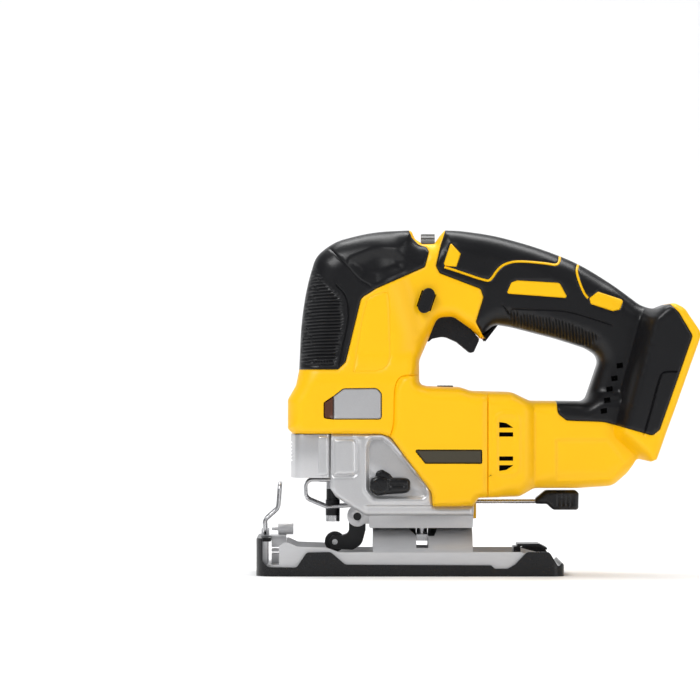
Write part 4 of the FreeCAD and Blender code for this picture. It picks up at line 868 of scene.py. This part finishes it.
# The gear case and the clamp lever are zinc castings. Their cores are the CAD shapes; each flank
# is a relief plate with the cast-in pockets, pads and rounded borders, set on the core.
def plate(outline, loose, face, back, sides=(-1, 1)):
    """Closed relief plates: face gives the half-width of the outer surface, back is flat."""
    spots, sheets = triangulated([outline], loose)
    inside = within(spots[sheets].mean(axis=1), outline)
    sheets = sheets[inside]
    area = np.cross(spots[sheets[:, 1]] - spots[sheets[:, 0]], spots[sheets[:, 2]] - spots[sheets[:, 0]])
    sheets[area < 0] = sheets[area < 0][:, ::-1]
    widths = face(spots)
    own = {(a, b) for triangle in sheets for a, b in zip(triangle, np.roll(triangle, -1))}
    rim = [(a, b) for a, b in own if (b, a) not in own]
    points, faces = [], []
    for side in sides:
        low = len(points)
        count = len(spots)
        points += [place_of(spot, side * width) for spot, width in zip(spots, widths)]
        points += [place_of(spot, side * back) for spot in spots]
        shell = [[low + int(c) for c in triangle] for triangle in sheets]
        shell += [[low + count + int(c) for c in triangle[::-1]] for triangle in sheets]
        shell += [[low + int(b), low + int(a), low + count + int(a), low + count + int(b)] for a, b in rim]
        faces += shell if side < 0 else [corner[::-1] for corner in shell]
    mesh = bpy.data.meshes.new("plate")
    mesh.from_pydata(points, [], faces)
    return mesh


def cast_piece(name, node, body_reach, plates, radius):
    """A CAD node cut back to |y| <= body_reach with relief plates joined on."""
    build = joined_faces(node)
    for side in (-1, 1):
        cut = bmesh.ops.bisect_plane(build, geom=build.verts[:] + build.edges[:] + build.faces[:],
                                     plane_co=(0, side * body_reach * MM, 0), plane_no=(0, side, 0),
                                     clear_outer=True)
        edges = [item for item in cut["geom_cut"] if isinstance(item, bmesh.types.BMEdge)]
        bmesh.ops.triangle_fill(build, edges=edges, use_dissolve=True)
    bmesh.ops.recalc_face_normals(build, faces=build.faces)
    sharp = [edge for edge in build.edges
             if len(edge.link_faces) == 2 and edge.calc_face_angle(0) > math.radians(40)]
    bmesh.ops.bevel(build, geom=sharp, offset=radius * MM, segments=2, profile=0.5, affect="EDGES",
                    clamp_overlap=True, material=-1)
    for mesh in plates:
        build.from_mesh(mesh)
    mesh = bpy.data.meshes.new(name)
    build.to_mesh(mesh)
    build.free()
    mesh.materials.clear()
    mesh.materials.append(finish_of[node])
    mesh.polygons.foreach_set("material_index", [0] * len(mesh.polygons))
    mesh.shade_smooth()
    mesh.set_sharp_from_angle(angle=math.radians(30))
    piece = bpy.data.objects.new(name, mesh)
    scene.collection.objects.link(piece)
    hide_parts(node)
    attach(piece, body_of_node[node])
    return piece


def soft_rim(spots, outline, full, drop, reach):
    """A flank at half-width full that falls by drop, in a quarter round, towards its outline."""
    return full - drop + drop * quarter_round(distance(spots, outline) / reach)


case_outline = rounded([
    (-42.8, 76.9, 1), (-42.8, 47, 3), (-40.5, 43, 3), (-30.5, 36.2, 4), (-24, 32.4, 2), (34.8, 32.4, 0.6),
    (34.8, 37.4, 0.3), (12.6, 37.4, 0.5), (11.9, 45, 8), (-10.6, 75.4, 6), (-16, 76.9, 3)], 1.0)[::-1]
selector_panel = rounded([
    (-22.1, 75.2, 3), (-14.5, 75.6, 4), (-9.8, 71.8, 4), (9.4, 49.2, 3), (9.8, 41.4, 4.5),
    (-19.8, 41.2, 3), (-23.9, 46.4, 3), (-24, 70, 2)], 0.9)
finger_pad = rounded([(-41.6, 74.6, 0.6), (-41.6, 54.3, 0.6), (-29.6, 54.3, 3), (-28.3, 57, 3),
                      (-28.3, 72, 3), (-30, 74.6, 3)], 0.9)
foot_line, foot_start = 38.4, -26  # z of the step along the foot of the case, and where it starts
hub_centre = np.array((-16.0, 48.8))
scale_marks = []
for turn in (15, 45, 75, 105):
    way = np.array((math.cos(math.radians(turn)), math.sin(math.radians(turn))))
    start = hub_centre + 9.6 * way
    scale_marks.append(stroke([start, start + 1.2 * way], 0.5))


def case_face(spots):
    width = soft_rim(spots, case_outline, 26, 1.6, 2.2)
    panel = signed(spots, selector_panel)
    width += 0.5 * ease(1 - np.abs(panel + 0.8) / 1.2) - 2.6 * ease(panel / 2.2)
    pad = signed(spots, finger_pad)
    width += -1.1 * ease(1 - np.abs(pad) / 1.1) - 0.5 * ease(pad / 0.8)
    swell = 1.2 * np.sin(np.clip((spots[:, 0] + 42) / 13.5, 0, 1) * math.pi)
    width += np.where(pad > 0, swell, 0) * ease(pad / 2)
    width -= 0.8 * ease((foot_line - spots[:, 1]) / 0.8) * ease((spots[:, 0] - foot_start) / 4)
    for mark in scale_marks:
        width += 0.25 * ease(signed(spots, mark) / 0.2)
    return np.minimum(width, 26.3)


case_loose = [(ring_points(path, offsets), 0.3) for path, offsets in (
    (case_outline, (0.2, 0.7, 1.4, 2.2)), (selector_panel, (-2, -1.4, -0.8, 0, 0.7, 1.4, 2, 2.6)),
    (finger_pad, (-1.1, -0.5, 0, 0.5, 1.1, 2)))]
case_loose += [(ring_points(mark, (-0.1, 0.1, 0.25)), 0.15) for mark in scale_marks]
case_step = line([(foot_start, foot_line), (34, foot_line)])
case_loose.append((ring_points(case_step, (-0.9, -0.4, 0, 0.4), False), 0.3))
case_loose.append((grid_between((-43, 32), (35, 78), 1.1), 0.7))
case_plates = plate(case_outline, case_loose, case_face, 23.4)
cast_piece("gear_case_casting", "gear_case", 23.6, [case_plates], 0.5)

lever_pad = rounded([(-50.6, 76.3, 2), (-50.6, 53.4, 2), (-43.8, 53.4, 2.5), (-43.8, 76.3, 2.5)], 0.9)[::-1]
lever_loose = [(ring_points(lever_pad, (0.2, 0.6, 1.2, 1.9)), 0.3),
               (grid_between((-51, 53), (-43, 77), 0.9), 0.6)]
lever_plates = plate(lever_pad, lever_loose, lambda spots: soft_rim(spots, lever_pad, 25.6, 1.4, 1.9), 23.2)
cast_piece("clamp_lever_casting", "clamp_lever", 24.9, [lever_plates], 1.3)


# The orbit selector is a black moulded knob: a round hub, a pointer arm with a grip slot and a
# low stop lobe behind it. It turns in the recess of the left flank.
knob_outline = rounded([
    (-21.6, 52.2, 4), (-17.6, 54.4, 3), (-12, 53.2, 2), (-4, 53.2, 3.5), (0.3, 52.6, 3.5),
    (0.3, 45.4, 3.5), (-4, 44.6, 3.5), (-12, 44.2, 2), (-17.6, 43.2, 3), (-21.6, 45.4, 4)], 0.8)[::-1]
knob_slot = stroke([(-11, 49), (-8, 49), (-5, 49), (-2.6, 49)], 2.0)
lobe_outline = rounded([(-19, 52, 0.5), (-18.3, 56.4, 2), (-15, 57.6, 2), (-11, 55.4, 2),
                        (-8.2, 52, 0.5)], 0.8)[::-1]


def knob_face(spots):
    width = soft_rim(spots, knob_outline, 28.6, 2.6, 2.0)
    from_hub = np.linalg.norm(spots - hub_centre, axis=1)
    width -= ease(1 - np.abs(from_hub - 5.0) / 0.7) * (spots[:, 0] > -13)
    return width - 0.8 * ease(signed(spots, knob_slot) / 0.5)


knob_loose = [(ring_points(knob_outline, (0.2, 0.6, 1.2, 2)), 0.3),
              (ring_points(knob_slot, (-0.3, 0, 0.3, 0.6)), 0.25), (grid_over(knob_outline, 0.7), 0.5)]
knob_plate = plate(knob_outline, knob_loose, knob_face, 24.4, (-1,))
lobe_loose = [(ring_points(lobe_outline, (0.2, 0.6, 1.1)), 0.3), (grid_over(lobe_outline, 0.8), 0.5)]
lobe_plate = plate(lobe_outline, lobe_loose, lambda spots: soft_rim(spots, lobe_outline, 26.2, 1.2, 1.2),
                   24.4, (-1,))
cast_piece("selector_casting", "selector_knob", 24.6, [knob_plate, lobe_plate], 0.1)

# The bevel paddle is the black moulded end of the shoe clamp's rod, with finger ribs on its flanks.
paddle_outline = rounded([(69.2, 38.5, 0.8), (69.6, 41.2, 2), (75, 45.5, 3), (91.3, 45.5, 2), (92.8, 44, 1),
                          (92.6, 35.2, 1.5), (79, 35.2, 3), (75.5, 38.4, 2)], 0.8)[::-1]
paddle_ribs = rounded([(79.5, 43.8, 1), (91.2, 43.8, 1), (91.2, 36.6, 1), (79.5, 36.6, 1)])
paddle_rib_run = (90, 2.4)


def paddle_face(spots):
    return soft_rim(spots, paddle_outline, 7, 1.6, 1.8) - ribs(spots, paddle_ribs, *paddle_rib_run, 0.9)


paddle_loose = [(ring_points(paddle_outline, (0.2, 0.6, 1.1, 1.8)), 0.3),
                (rib_points(paddle_ribs, *paddle_rib_run, 1.2), 0.3),
                (grid_over(paddle_outline, 1.1), 0.6)]
paddle_plates = plate(paddle_outline, paddle_loose, paddle_face, 5.1)
cast_piece("paddle_moulding", "bevel_paddle", 5.2, [paddle_plates], 0.6)
